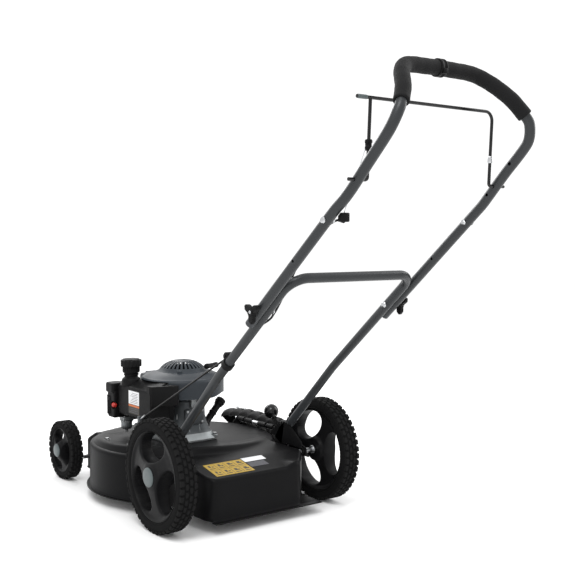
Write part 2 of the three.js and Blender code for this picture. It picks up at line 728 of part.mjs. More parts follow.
// A three-winged knob that screws on the fold bolt.
function wingKnob(side) {
  const points = [];
  for (let k = 0; k < 24; k += 1) {
    const angle = (2 * Math.PI * k) / 24;
    const wing = 0.5 + 0.5 * Math.sin(3 * angle);
    const radius = 9 + 18 * wing * wing;
    points.push([radius * Math.cos(angle) + FOLD.y, radius * Math.sin(angle) + FOLD.z]);
  }
  const wings = sidePlate(points, 214, 224);
  const hub = rod([211.3, FOLD.y, FOLD.z], [225, FOLD.y, FOLD.z], 9.5, 16);
  const knob = cut(join(wings, hub), rod([200, FOLD.y, FOLD.z], [240, FOLD.y, FOLD.z], 4.3, 12));
  return side > 0 ? knob : knob.mirror([1, 0, 0]);
}

function bail() {
  const { y, z, x, top, radius } = BAIL;
  const back = y - 8;
  const main = [[-206, back, top], [x, back, top], [x, y, z], [220, y, z]];
  const leftLeg = [[-x, back, top], [-x, y, z], [-220, y, z]];
  return join(tube(bent(main, [20, 6], 4), radius, 8), tube(bent(leftLeg, [6], 3), radius, 8));
}

function cableHook() {
  const y = BAIL.y - 3.4;
  const sleeve = rod([-BAIL.x, y, 885], [-BAIL.x, y, 905], 7.5, 10);
  return cut(sleeve, rod([-BAIL.x, y + 1.5, 870], [-BAIL.x, y - 1.5, 920], 4.6, 10));
}

function cableAnchor() {
  const leg = rod([-200, -540, 722], [-197.5, -640, 808], TUBE.radius + 1.2, 12);
  return cut(block([-197, -620, 750], [-178, -602, 768]), leg);
}

// The brake cable in two lengths; each stops short of the fold axis, so that the handle can fold.
const CABLE_UPPER = [
  [-181, -601.5, 753],
  [-180.5, -585, 754],
  [-180.5, -570, 750],
  [-185, -552, 740],
  [-188.7, -530, 726],
  [-187, -500, 702],
  [-181, -470, 678],
  [-171, -440, 656],
  [-163, -415, 636],
  [-158, -390, 614],
  [-155, -368, 587],
  [-155, -352, 566.8],
];
const CABLE_LOWER = [
  [-155, -341.1, 555],
  [-156, -325, 540],
  [-163, -292, 520.5],
  [-166, -252, 491],
  [-171, -218, 468],
  [-174, -190, 446],
  [-171, -120, 413],
  [-166, 10, 351],
  [-160, 160, 280],
  [-157, 269.5, 227.6],
];

function cableClip() {
  const along = new THREE.Vector3(...LEG_SLOPE).normalize();
  const middle = new THREE.Vector3(-LOWER_X, -190, 427.2);
  const end = (by) => middle.clone().addScaledVector(along, by).toArray();
  const band = rod(end(-8), end(8), 14.5, 16);
  const ears = rod([-185, -189, 446], [-165, -189, 446], 10, 16);
  const leg = rod(end(-60), end(60), TUBE.radius + 0.5, 16);
  const cable = [[-171, -218, 468], [-174, -190, 446], [-171, -120, 413]];
  return cut(join(band, ears), leg, tube(cable, CABLE_RADIUS + 0.5, 12));
}

function handle() {
  const group = new THREE.Group();
  group.add(part('lower_handle', lowerHandle(), TUBE_PAINT));
  group.add(part('upper_handle', upperHandle(), TUBE_PAINT));
  group.add(part('foam_grip', foamGrip(), FOAM));
  group.add(part('bail', bail(), BLACK_STEEL));
  group.add(part('cable_hook', cableHook(), PLASTIC));
  group.add(part('cable_anchor', cableAnchor(), PLASTIC));
  group.add(part('cable_clip', cableClip(), PLASTIC));
  group.add(part('brake_cable_upper', tube(CABLE_UPPER, CABLE_RADIUS, 8), RUBBER));
  group.add(part('brake_cable_lower', tube(CABLE_LOWER, CABLE_RADIUS, 8), RUBBER));
  [['left', -1], ['right', 1]].forEach(([label, side]) => {
    group.add(part(`${label}_fold_bolt`, foldBolt(side), ZINC));
    group.add(part(`${label}_wing_knob`, wingKnob(side), PLASTIC));
    group.add(part(`${label}_guide_bolt`, guideBolt(side), ZINC));
    group.add(part(`${label}_handle_bracket`, handleBracket(side), BLACK_STEEL));
  });
  return group;
}

// ---- chassis ----
function chassis() {
  const group = new THREE.Group();
  const { x, z, rod: pin } = DEFLECTOR;
  group.add(part('deck_shell', deckShell(), BLACK_STEEL));
  group.add(part('deflector', deflector(), PLASTIC));
  group.add(part('deflector_rod', rod([x, 206, z], [x, 424, z], pin, 12), ZINC));
  group.add(part('deflector_spring', deflectorSpring(), ZINC));
  group.add(part('rear_axle', rearAxle(), BLACK_STEEL));
  group.add(part('rear_height_lever', rearHeightLever(), BLACK_STEEL));
  group.add(part('ball_knob', ballKnob(), PLASTIC));
  group.add(part('front_axle', frontAxle(), BLACK_STEEL));
  group.add(part('front_height_lever', frontHeightLever(), BLACK_STEEL));
  return group;
}

const mower = new THREE.Group();
mower.position.set(-CENTRE.x, -CENTRE.y, 0);
mower.add(chassis());
mower.add(engine());
mower.add(handle());
mower.add(wheelSet(REAR_WHEEL, 'rear_left', -1, 0.12));
mower.add(wheelSet(REAR_WHEEL, 'rear_right', 1, 0.5));
mower.add(wheelSet(FRONT_WHEEL, 'front_left', -1, 0.4));
mower.add(wheelSet(FRONT_WHEEL, 'front_right', 1, 1.1));

export default mower;
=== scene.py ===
import json
from math import atan2, copysign, cos, hypot, pi, radians, sin, sqrt, tan

import bmesh
import bpy
import numpy as np
from mathutils import Matrix, Vector
from mathutils.geometry import delaunay_2d_cdt


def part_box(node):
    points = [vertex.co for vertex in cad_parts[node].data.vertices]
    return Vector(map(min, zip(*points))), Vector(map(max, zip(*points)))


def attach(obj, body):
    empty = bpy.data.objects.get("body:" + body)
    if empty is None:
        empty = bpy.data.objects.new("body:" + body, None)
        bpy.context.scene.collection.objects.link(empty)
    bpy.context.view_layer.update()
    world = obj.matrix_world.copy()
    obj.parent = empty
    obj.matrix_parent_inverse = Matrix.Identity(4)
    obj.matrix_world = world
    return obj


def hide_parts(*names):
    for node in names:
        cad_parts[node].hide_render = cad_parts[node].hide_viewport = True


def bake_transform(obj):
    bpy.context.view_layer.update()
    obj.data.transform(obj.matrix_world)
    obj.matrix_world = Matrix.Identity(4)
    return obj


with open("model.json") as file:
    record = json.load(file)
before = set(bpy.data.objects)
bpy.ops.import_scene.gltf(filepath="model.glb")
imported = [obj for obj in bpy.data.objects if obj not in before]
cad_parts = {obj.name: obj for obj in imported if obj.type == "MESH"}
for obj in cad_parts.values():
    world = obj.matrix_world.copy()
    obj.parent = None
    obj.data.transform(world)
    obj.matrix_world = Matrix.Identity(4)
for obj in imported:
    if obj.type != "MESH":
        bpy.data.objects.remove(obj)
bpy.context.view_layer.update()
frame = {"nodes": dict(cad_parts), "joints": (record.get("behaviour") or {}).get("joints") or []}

TAU = 2 * pi


# ---- places, taken from the frame ----
def middle(node):
    low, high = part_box(node)
    return (low + high) / 2


# Lengths below are millimetres from this point: the ground under the middle of the rear axle line.
REAR_LEFT, REAR_RIGHT = middle("rear_left_tyre"), middle("rear_right_tyre")
ORIGIN = Vector(((REAR_LEFT.x + REAR_RIGHT.x) / 2, REAR_LEFT.y, 0))


def from_frame(point):
    return (Vector(point) - ORIGIN) * 1000


def extent(node):
    low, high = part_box(node)
    return from_frame(low), from_frame(high)


def joint_place(name):
    joint = next(j for j in frame["joints"] if j["name"] == name)
    return from_frame(joint["pos_m"])


BLADE_Y = joint_place("blade_spin").y
FOLD = joint_place("handle_fold")
BAIL = joint_place("bail_squeeze")
HINGE = joint_place("deflector_lift")
REAR_PIVOT = joint_place("rear_height_adjust")
FRONT_PIVOT = joint_place("front_height_adjust")
WALL = 262


# ---- shapes: lists of vertices in millimetres and faces ----
class Shape:
    """Closed shells gathered into one mesh, drawn from an origin; each keeps its material's number."""

    def __init__(self, origin=(0, 0, 0)):
        self.origin = Vector(origin)
        self.verts = []
        self.faces = []
        self.marks = []

    def add(self, shell, mark=0):
        verts, faces = shell
        base = len(self.verts)
        self.verts.extend(Vector(v) + self.origin for v in verts)
        self.faces.extend([base + k for k in face] for face in faces)
        self.marks.extend([mark] * len(faces))
        return self

    def mirror(self):
        """The same shape on the other side of the middle plane."""
        self.verts = [Vector(p) for p in mirrored(self.verts)]
        return self


AXES = {
    "x": lambda r, h, a: (h, r * sin(a), r * cos(a)),
    "y": lambda r, h, a: (r * sin(a), h, r * cos(a)),
    "z": lambda r, h, a: (r * sin(a), r * cos(a), h),
}


def turned(profile, sides=48, axis="z", centre=(0, 0, 0)):
    """A (radius, height) profile turned about an axis; off the axis it closes on itself."""
    closed = profile[0][0] > 0
    rows = []
    verts = []
    centre = Vector(centre)
    for radius, height in profile:
        if radius <= 1e-6:
            rows.append([len(verts)] * sides)
            verts.append(centre + Vector(AXES[axis](0, height, 0)))
            continue
        rows.append([len(verts) + k for k in range(sides)])
        verts.extend(centre + Vector(AXES[axis](radius, height, TAU * k / sides)) for k in range(sides))
    faces = []
    pairs = list(zip(rows, rows[1:] + rows[:1])) if closed else list(zip(rows, rows[1:]))
    for low, high in pairs:
        for k in range(sides):
            n = (k + 1) % sides
            ring = []
            for v in (low[k], low[n], high[n], high[k]):
                if v not in ring:
                    ring.append(v)
            if len(ring) > 2:
                faces.append(ring)
    return verts, faces


def frames_along(points):
    """Tangent and two cross directions at each point, carried along without twist."""
    points = [Vector(p) for p in points]
    out = []
    side = None
    for k, point in enumerate(points):
        ahead = points[min(k + 1, len(points) - 1)] - points[max(k - 1, 0)]
        ahead.normalize()
        if side is None:
            guide = Vector((0, 0, 1)) if abs(ahead.z) < 0.9 else Vector((1, 0, 0))
            side = ahead.cross(guide).normalized()
        side = (side - ahead * side.dot(ahead)).normalized()
        out.append((point, side, ahead.cross(side)))
    return out


def bands(rings, sides, base=0):
    """Faces between rings of points that are stored one after another."""
    faces = []
    for row in range(rings - 1):
        low = base + row * sides
        for k in range(sides):
            n = (k + 1) % sides
            faces.append([low + k, low + n, low + sides + n, low + sides + k])
    return faces


def stacked(rings):
    """Rings of points joined into one skin, with a cap at each end."""
    sides = len(rings[0])
    last = (len(rings) - 1) * sides
    caps = [list(range(sides))[::-1], [last + k for k in range(sides)]]
    return [p for ring in rings for p in ring], bands(len(rings), sides) + caps


def swept(points, radius, sides=20, inner=0):
    """A round bar along points; radius may be a list; inner makes it a tube."""
    radii = radius if isinstance(radius, (list, tuple)) else [radius] * len(points)

    def ring(place, r):
        point, side, up = place
        turns = [TAU * k / sides for k in range(sides)]
        return [point + side * (r * cos(a)) + up * (r * sin(a)) for a in turns]

    places = frames_along(points)
    outside = [ring(place, r) for place, r in zip(places, radii)]
    if not inner:
        return stacked(outside)
    verts = [p for row in outside for p in row]
    base = len(verts)
    verts += [p for place in places for p in ring(place, inner)]
    faces = bands(len(places), sides) + [face[::-1] for face in bands(len(places), sides, base)]
    for start in (0, base - sides):
        for k in range(sides):
            n = (k + 1) % sides
            faces.append([start + k, start + n, base + start + n, base + start + k])
    return verts, faces


def bevelled(bm, edges, width, steps):
    bmesh.ops.bevel(bm, geom=edges, offset=width, segments=steps, profile=0.5, affect="EDGES",
                    clamp_overlap=True)


def shell_of(bm):
    bmesh.ops.recalc_face_normals(bm, faces=bm.faces)
    bm.verts.ensure_lookup_table()
    out = [v.co.copy() for v in bm.verts], [[v.index for v in f.verts] for f in bm.faces]
    bm.free()
    return out


def rounded(low, high, radius, steps=3):
    """A box with all its edges rounded."""
    bm = bmesh.new()
    bmesh.ops.create_cube(bm, size=1)
    low, high = Vector(low), Vector(high)
    for v in bm.verts:
        v.co = Vector([(v.co[k] + 0.5) * (high[k] - low[k]) + low[k] for k in range(3)])
    if radius:
        bevelled(bm, list(bm.edges), radius, steps)
    bm.verts.index_update()
    return shell_of(bm)


PLANES = {
    "xy": lambda u, v, w: (u, v, w),
    "yz": lambda u, v, w: (w, u, v),
    "xz": lambda u, v, w: (u, w, v),
}


def plate(outline, low, high, plane="xy", edge=0.6, steps=2):
    """A flat outline with a thickness and softened edges."""
    bm = bmesh.new()
    bottom = [bm.verts.new(PLANES[plane](u, v, low)) for u, v in outline]
    top = [bm.verts.new(PLANES[plane](u, v, high)) for u, v in outline]
    faces = [bm.faces.new(bottom[::-1]), bm.faces.new(top)]
    count = len(outline)
    for k in range(count):
        n = (k + 1) % count
        bm.faces.new([bottom[k], bottom[n], top[n], top[k]])
    if edge:
        rims = {e for f in faces for e in f.edges}
        bevelled(bm, list(rims), edge, steps)
    bm.verts.index_update()
    return shell_of(bm)


def bar(start, end, radius, sides=24, edge=0.6, end_radius=None):
    """A straight round bar with softened ends."""
    start, end = Vector(start), Vector(end)
    ahead = (end - start).normalized()
    last = radius if end_radius is None else end_radius
    points = [start, start + ahead * edge, end - ahead * edge, end]
    return swept(points, [radius - edge, radius, last, last - edge], sides)


def hexagon(start, end, radius):
    """A hexagonal head or nut between two points, with turned-down corners."""
    start, end = Vector(start), Vector(end)
    ahead = (end - start).normalized()
    return swept([start, end - ahead * 0.8, end], [radius, radius, radius - 0.9], 6)


def pin(start, end, at, *size):
    """A bar along x, at a y and z."""
    return bar((start, *at), (end, *at), *size)


def nut(start, end, at, size):
    """A six-sided head along x, at a y and z."""
    return hexagon((start, *at), (end, *at), size)


def post(at, low, high, *size):
    """A bar along z, at an x and y."""
    return bar((*at, low), (*at, high), *size)


def arc(centre, radius, first, last, steps):
    out = []
    for k in range(steps + 1):
        a = first + (last - first) * k / steps
        out.append((centre[0] + radius * cos(a), centre[1] + radius * sin(a)))
    return out


def smooth_route(points, share=5):
    """Points on a smooth curve through a list of points."""
    pts = [Vector(p) for p in points]
    ends = [pts[0] * 2 - pts[1]] + pts + [pts[-1] * 2 - pts[-2]]
    out = []
    for k in range(1, len(ends) - 2):
        a, b, c, d = ends[k - 1:k + 3]
        for j in range(share):
            t = j / share
            square, cube = 2 * a - 5 * b + 4 * c - d, 3 * b - a - 3 * c + d
            out.append(0.5 * ((2 * b) + (c - a) * t + square * t * t + cube * t ** 3))
    out.append(pts[-1])
    return out


def bent(corners, radii, steps=8):
    """Corner points joined by round bends."""
    pts = [Vector(p) for p in corners]
    out = [pts[0]]
    for k in range(1, len(pts) - 1):
        back = (pts[k - 1] - pts[k]).normalized()
        ahead = (pts[k + 1] - pts[k]).normalized()
        half = back.angle(ahead) / 2
        reach = radii[k - 1] / tan(half)
        centre = pts[k] + (back + ahead).normalized() * radii[k - 1] / sin(half)
        first = pts[k] + back * reach - centre
        last = pts[k] + ahead * reach - centre
        sweep = pi - 2 * half
        for j in range(steps + 1):
            t = j / steps
            turn = (first * sin((1 - t) * sweep) + last * sin(t * sweep)) / sin(sweep)
            out.append(centre + turn)
    out.append(pts[-1])
    return out


def soft_corners(outline, radius, steps=5):
    """A closed outline whose corners are cut by round bends."""
    count = len(outline)
    out = []
    for k in range(count):
        a, b, c = (Vector((*outline[(k + j) % count], 0)) for j in (-1, 0, 1))
        out += [(p.x, p.y) for p in bent([a, b, c], [radius], steps)[1:-1]]
    return out


def mirrored(points):
    return [(-p[0], p[1], p[2]) for p in points]


def flipped(shell):
    return mirrored(shell[0]), shell[1]


def sheet(points, thick, kept=lambda place: True, wrap=False):
    """A grid of points given a thickness; a cell is left out where kept says no to its middle."""
    grid = np.array(points, float)
    rows, cols = grid.shape[:2]
    down = np.gradient(grid, axis=0)
    across = np.roll(grid, -1, 1) - np.roll(grid, 1, 1) if wrap else np.gradient(grid, axis=1)
    normal = np.cross(down, across)
    normal /= np.maximum(np.linalg.norm(normal, axis=2, keepdims=True), 1e-9)
    skins = (grid, grid - normal * thick)
    cells = set()
    for i in range(rows - 1):
        for j in range(cols if wrap else cols - 1):
            n = (j + 1) % cols
            if kept((grid[i, j] + grid[i, n] + grid[i + 1, j] + grid[i + 1, n]) / 4):
                cells.add((i, j))
    index = {}
    verts = []

    def at(skin, i, j):
        key = (skin, i, j % cols)
        if key not in index:
            index[key] = len(verts)
            verts.append(skins[skin][i, j % cols])
        return index[key]

    faces = []
    for i, j in sorted(cells):
        corners = ((i, j), (i, j + 1), (i + 1, j + 1), (i + 1, j))
        faces.append([at(0, *c) for c in corners])
        faces.append([at(1, *c) for c in corners[::-1]])
        beside = ((i - 1, j), (i, j + 1), (i + 1, j), (i, j - 1))
        for k, (ni, nj) in enumerate(beside):
            if (ni, nj % cols if wrap else nj) not in cells:
                a, b = corners[k], corners[(k + 1) % 4]
                faces.append([at(0, *b), at(0, *a), at(1, *a), at(1, *b)])
    return verts, faces


def shifted(shell, move):
    return [Vector(v) + Vector(move) for v in shell[0]], shell[1]


def spun(shell, angle, centre=(0, 0, 0), axis="Z"):
    turn = Matrix.Rotation(angle, 4, axis)
    centre = Vector(centre)
    return [turn @ (Vector(v) - centre) + centre for v in shell[0]], shell[1]


# ---- from shapes to pieces ----
def linked(name, data):
    """A new object in the scene."""
    obj = bpy.data.objects.new(name, data)
    bpy.context.scene.collection.objects.link(obj)
    return obj


def mesh_object(name, shape, materials, sharp=32):
    mesh = bpy.data.meshes.new(name)
    mesh.from_pydata([ORIGIN + v * 0.001 for v in shape.verts], [], shape.faces)
    for material in materials:
        mesh.materials.append(material)
    mesh.polygons.foreach_set("material_index", shape.marks)
    mesh.polygons.foreach_set("use_smooth", [True] * len(mesh.polygons))
    bm = bmesh.new()
    bm.from_mesh(mesh)
    bmesh.ops.recalc_face_normals(bm, faces=bm.faces)
    bm.to_mesh(mesh)
    bm.free()
    mesh.update()
    mesh.set_sharp_from_angle(angle=radians(sharp))
    return linked(name, mesh)


def applied(obj):
    """Bakes the object's modifiers into its mesh."""
    graph = bpy.context.evaluated_depsgraph_get()
    graph.update()
    made = bpy.data.meshes.new_from_object(obj.evaluated_get(graph))
    obj.modifiers.clear()
    obj.data = made
    return obj


def carve(obj, tools, sharp=32, soften=0):
    """Cuts a shape out of an object; soften rounds the new edges."""
    cutter = mesh_object("cutter", tools, [])
    change = obj.modifiers.new("cut", "BOOLEAN")
    change.operation = "DIFFERENCE"
    change.solver = "EXACT"
    change.object = cutter
    applied(obj)
    bpy.data.objects.remove(cutter)
    if soften:
        bevel = obj.modifiers.new("soften", "BEVEL")
        bevel.width = soften * 0.001
        bevel.segments = 2
        bevel.limit_method = "ANGLE"
        bevel.angle_limit = radians(40)
        bevel.use_clamp_overlap = True
        applied(obj)
    obj.data.polygons.foreach_set("use_smooth", [True] * len(obj.data.polygons))
    obj.data.set_sharp_from_angle(angle=radians(sharp))
    return obj


def joined(obj, other):
    """Adds another object's mesh to obj's mesh."""
    bm = bmesh.new()
    bm.from_mesh(obj.data)
    bm.from_mesh(other.data)
    bm.to_mesh(obj.data)
    bm.free()
    obj.data.set_sharp_from_angle(angle=radians(32))
    bpy.data.objects.remove(other)


def settle(obj, body, nodes=()):
    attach(obj, body)
    if nodes:
        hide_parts(*nodes)
    return obj


def piece(name, shape, materials, body, slot, nodes=(), sharp=32):
    use = materials if isinstance(materials, (list, tuple)) else [materials]
    return settle(mesh_object(name, shape, use, sharp), body, nodes)


def look(node, shape, materials, body, slot, *smooth):
    """A piece that takes the place of one CAD node and is named after it."""
    return piece(node + "_look", shape, materials, body, slot, [node], *smooth)


# ---- materials ----
GRAIN_HEIGHT = 0.0004


def surface(name, colour, roughness, metallic=0.0, grain=700, depth=0.05, patch=9, spread=0.25, coat=0.0,
            worn=None, rough_spread=0.08, sheen=0.0, specular=0.5):
    """A surface with patchy colour and gloss, a fine grain and, where worn is given, rubbed edges."""
    material = bpy.data.materials.new(name)
    material.use_nodes = True
    tree = material.node_tree

    def fill(node, values):
        for key, value in values.items():
            node.inputs[key].default_value = value
        return node

    def new(kind, values):
        return fill(tree.nodes.new("ShaderNode" + kind), values)

    def mix(values):
        node = tree.nodes.new("ShaderNodeMix")
        node.data_type = "RGBA"
        return fill(node, values)

    def join(source, output, target, socket):
        tree.links.new(source.outputs[output], target.inputs[socket])

    shader = fill(tree.nodes["Principled BSDF"], {
        "Metallic": metallic, "Specular IOR Level": specular, "Coat Weight": coat, "Coat Roughness": 0.15,
        "Sheen Weight": sheen})
    place = new("TexCoord", {})
    patches = new("TexNoise", {"Scale": patch, "Detail": 6, "Roughness": 0.6})
    join(place, "Object", patches, "Vector")
    paint = mix({"A": (*[c * (1 - spread) for c in colour], 1),
                 "B": (*[min(1, c * (1 + spread)) for c in colour], 1)})
    join(patches, "Fac", paint, "Factor")
    if worn:
        edge = new("MapRange", {"From Min": 0.52, "From Max": 0.62, "To Max": 0.45})
        join(new("NewGeometry", {}), "Pointiness", edge, "Value")
        rub = mix({"B": (*worn, 1)})
        join(edge, "Result", rub, "Factor")
        join(paint, "Result", rub, "A")
        paint = rub
    join(paint, "Result", shader, "Base Color")
    gloss = new("MapRange", {"To Min": roughness - rough_spread, "To Max": roughness + rough_spread})
    join(patches, "Fac", gloss, "Value")
    join(gloss, "Result", shader, "Roughness")
    fine = new("TexNoise", {"Scale": grain, "Detail": 3})
    join(place, "Object", fine, "Vector")
    bump = new("Bump", {"Strength": depth, "Distance": GRAIN_HEIGHT})
    join(fine, "Fac", bump, "Height")
    join(bump, "Normal", shader, "Normal")
    return material


def printed(name, colour, spread=0.1, roughness=0.5):
    return surface(name, colour, roughness, 0.0, 900, 0.1, 60, spread)


DECK = surface("deck_paint_look", (0.0052, 0.0052, 0.0056), 0.4, 0.0, 260, 0.3, 7, 0.3, 0,
               (0.012, 0.012, 0.012), specular=0.06)
TUBE = surface("tube_paint_look", (0.029, 0.031, 0.033), 0.38, 0.25, 900, 0.12, 12, 0.14, 0.04,
               (0.06, 0.066, 0.072), specular=0.25)
SLATE = surface("slate_look", (0.025, 0.030, 0.036), 0.46, 0.0, 500, 0.25, 14, 0.18, 0, (0.05, 0.06, 0.07),
                specular=0.22)
CAST = surface("cast_look", (0.22, 0.235, 0.24), 0.42, 0.8, 420, 0.8, 30, 0.3, 0, (0.5, 0.5, 0.5), 0.12)
CAST_DARK = surface("cast_dark_look", (0.06, 0.066, 0.07), 0.45, 0.5, 420, 0.8, 30, 0.3, 0,
                    (0.2, 0.21, 0.22), 0.12, specular=0.3)
ZINC = surface("zinc_look", (0.50, 0.51, 0.52), 0.3, 1.0, 1200, 0.2, 60, 0.15)
STEEL = surface("blade_look", (0.20, 0.205, 0.21), 0.38, 0.95, 240, 0.4, 40, 0.3, 0, (0.5, 0.5, 0.5), 0.14)
PLASTIC = surface("black_plastic_look", (0.005, 0.005, 0.0054), 0.46, 0.0, 1100, 0.4, 20, 0.2, 0,
                  (0.011, 0.011, 0.011), specular=0.08)
GLOSS = surface("gloss_black_look", (0.004, 0.004, 0.0045), 0.18, 0.0, 500, 0.06, 20, 0.2, 0.1,
                specular=0.3)
RIM = surface("rim_plastic_look", (0.0055, 0.0055, 0.006), 0.42, 0.0, 800, 0.3, 16, 0.22, 0,
              (0.012, 0.012, 0.012), specular=0.08)
RUBBER = surface("tyre_look", (0.006, 0.006, 0.0062), 0.75, 0.0, 600, 0.7, 18, 0.3, 0,
                 (0.014, 0.014, 0.014), 0.1, specular=0.05)
FOAM = surface("foam_look", (0.0065, 0.0065, 0.0068), 0.8, 0.0, 1500, 1.0, 30, 0.25, 0, None, 0.08, 0.04,
               specular=0.14)
CAP = surface("hub_cap_look", (0.07, 0.088, 0.09), 0.45, 0.0, 700, 0.3, 40, 0.15, 0.1)
RED = surface("primer_look", (0.42, 0.022, 0.016), 0.4, 0.0, 900, 0.2, 60, 0.12)
YELLOW = printed("label_yellow_look", (0.37, 0.235, 0.010))
WHITE = printed("label_white_look", (0.70, 0.71, 0.72), 0.05, 0.45)
GREY = printed("label_grey_look", (0.045, 0.045, 0.055), 0.2)
ORANGE = printed("label_orange_look", (0.50, 0.12, 0.02), 0.08)
INK = printed("label_ink_look", (0.02, 0.016, 0.008))
CABLE = surface("cable_look", (0.005, 0.005, 0.005), 0.45, 0.0, 1500, 0.4, 40, 0.2, specular=0.25)


# ---- camera, floor and light ----
def make_camera():
    data = bpy.data.cameras.new("camera")
    data.lens = 58.76
    data.sensor_width = 36
    data.clip_start = 0.05
    data.clip_end = 60
    camera = linked("camera", data)
    camera.location = (-1.3973, -1.9689, 0.7175)
    camera.rotation_euler = (radians(87.031), 0, radians(-37.078))
    bpy.context.scene.camera = camera


def area_light(name, place, target, size, power):
    data = bpy.data.lights.new(name, "AREA")
    data.shape = "RECTANGLE"
    data.size, data.size_y = size
    data.energy = power
    light = linked(name, data)
    light.location = place
    light.rotation_euler = (Vector(target) - Vector(place)).to_track_quat("-Z", "Y").to_euler()


def make_studio():
    mesh = bpy.data.meshes.new("floor")
    reach, drop = 12, -0.001
    mesh.from_pydata([(-reach, -reach, drop), (reach, -reach, drop), (reach, reach, drop),
                      (-reach, reach, drop)], [], [(0, 1, 2, 3)])
    paper = bpy.data.materials.new("paper")
    paper.use_nodes = True
    shader = paper.node_tree.nodes["Principled BSDF"]
    shader.inputs["Base Color"].default_value = (0.92, 0.92, 0.92, 1)
    shader.inputs["Roughness"].default_value = 0.9
    shader.inputs["Specular IOR Level"].default_value = 0
    mesh.materials.append(paper)
    floor = linked("floor", mesh)
    world = bpy.data.worlds.new("studio")
    world.use_nodes = True
    sky = world.node_tree.nodes["Background"]
    sky.inputs["Color"].default_value = (1, 1, 1, 1)
    sky.inputs["Strength"].default_value = 1.1
    bpy.context.scene.world = world
    bpy.context.scene.view_settings.view_transform = "Standard"
    area_light("key", (-1.6, -1.4, 3.2), (0, 0, 0.2), (1.6, 1.6), 60)
    area_light("side", (2.6, -0.9, 1.7), (0, 0, 0.4), (1.2, 2.0), 30)
    area_light("back", (0.4, 3.0, 2.2), (0, 0, 0.4), (2.4, 1.2), 40)


make_camera()
make_studio()


# ---- wheels ----
RIM_DRAWN = 112
OPENING_CENTRE = 72 / RIM_DRAWN
OPENING_HALF = (56 / RIM_DRAWN, 37 / RIM_DRAWN)
OPENING_POWER = 2.3
FIRST_OPENING = {"rear_left": 0.12, "rear_right": 0.5, "front_left": 0.4, "front_right": 1.1}


def wheel_sizes(prefix):
    low, high = extent(prefix + "_tyre")
    rim_low, rim_high = extent(prefix + "_rim")
    width = high.x - low.x
    return {
        "centre": (low + high) / 2,
        "radius": (high.z - low.z) / 2,
        "half": width / 2,
        "rim": (rim_high.z - rim_low.z) / 2,
        "side": -1 if low.x < 0 else 1,
        "hub": (extent(prefix + "_hub_cap")[1].z - extent(prefix + "_hub_cap")[0].z) / 2 / 0.8,
    }


def tread_lug(radius, low, high, along, deep):
    """One block of the tread at the top of the wheel, from low to high across it."""
    bm = bmesh.new()
    base = [(low, -along, radius - deep), (high, -along, radius - deep), (high, along, radius - deep),
            (low, along, radius - deep)]
    inset = 1.1
    crest = sqrt(radius ** 2 - (along - inset) ** 2)
    top = [(low + inset, -along + inset, crest), (high - inset, -along + inset, crest),
           (high - inset, along - inset, crest), (low + inset, along - inset, crest)]
    verts = [bm.verts.new(p) for p in base + top]
    for ring in ((3, 2, 1, 0), (4, 5, 6, 7), (0, 1, 5, 4), (1, 2, 6, 5), (2, 3, 7, 6), (3, 0, 4, 7)):
        bm.faces.new([verts[k] for k in ring])
    bevelled(bm, [e for e in bm.edges if max(v.co.z for v in e.verts) > crest - 0.5], 0.7, 1)
    bm.verts.index_update()
    return shell_of(bm)


def tyre_shape(wheel):
    radius, half, rim = wheel["radius"], wheel["half"], wheel["rim"]
    deep = 0.024 * radius
    wall = half - 0.4
    side = [(rim + 0.5, wall - 2.5), (rim + 1.5, wall - 0.6), (rim + 3.2, wall), (rim + 4.4, wall - 0.9),
            (rim + 6, wall - 0.9), (rim + 7.4, wall), (radius - 12, wall), (radius - 8, wall - 1.2),
            (radius - deep - 0.8, wall - 5), (radius - deep, wall - 9)]
    outline = [(r, -h) for r, h in side] + [(r, h) for r, h in side[::-1]]
    shape = Shape().add(turned(outline, 120, "x", wheel["centre"]))
    count = round(TAU * radius / 19)
    quarter = wall / 2
    rows = [(-wall + 0.2, -quarter - 1, 0.0), (-quarter + 1, -1, 0.5), (1, quarter - 1, 0.0),
            (quarter + 1, wall - 0.2, 0.5)]
    for low, high, stagger in rows:
        reach = deep + (4 if abs(low + high) > wall else 0.6)
        block = tread_lug(radius, low, high, 7.4, reach)
        for k in range(count):
            turn = Matrix.Rotation(TAU * (k + stagger) / count, 4, "X")
            shape.add(([turn @ v + wheel["centre"] for v in block[0]], block[1]))
    return shape


def opening_gap(wheel, first, radius, angle):
    """Roughly the distance from the nearest opening's edge, negative inside it."""
    rim = wheel["rim"]
    across, along = OPENING_HALF[1] * rim, OPENING_HALF[0] * rim
    gaps = []
    for k in range(3):
        turn = (angle - first - TAU * k / 3 + pi) % TAU - pi
        p = turn * OPENING_CENTRE * rim / along
        q = (radius - OPENING_CENTRE * rim) / across
        gaps.append(((abs(p) ** OPENING_POWER + abs(q) ** OPENING_POWER) ** (1 / OPENING_POWER) - 1) * across)
    return min(gaps)


def eased(gap, fillet):
    """How far a face has dropped at a distance from a rounded edge."""
    if gap >= fillet:
        return 0
    return fillet - sqrt(max(0, fillet ** 2 - (fillet - max(gap, 0)) ** 2))


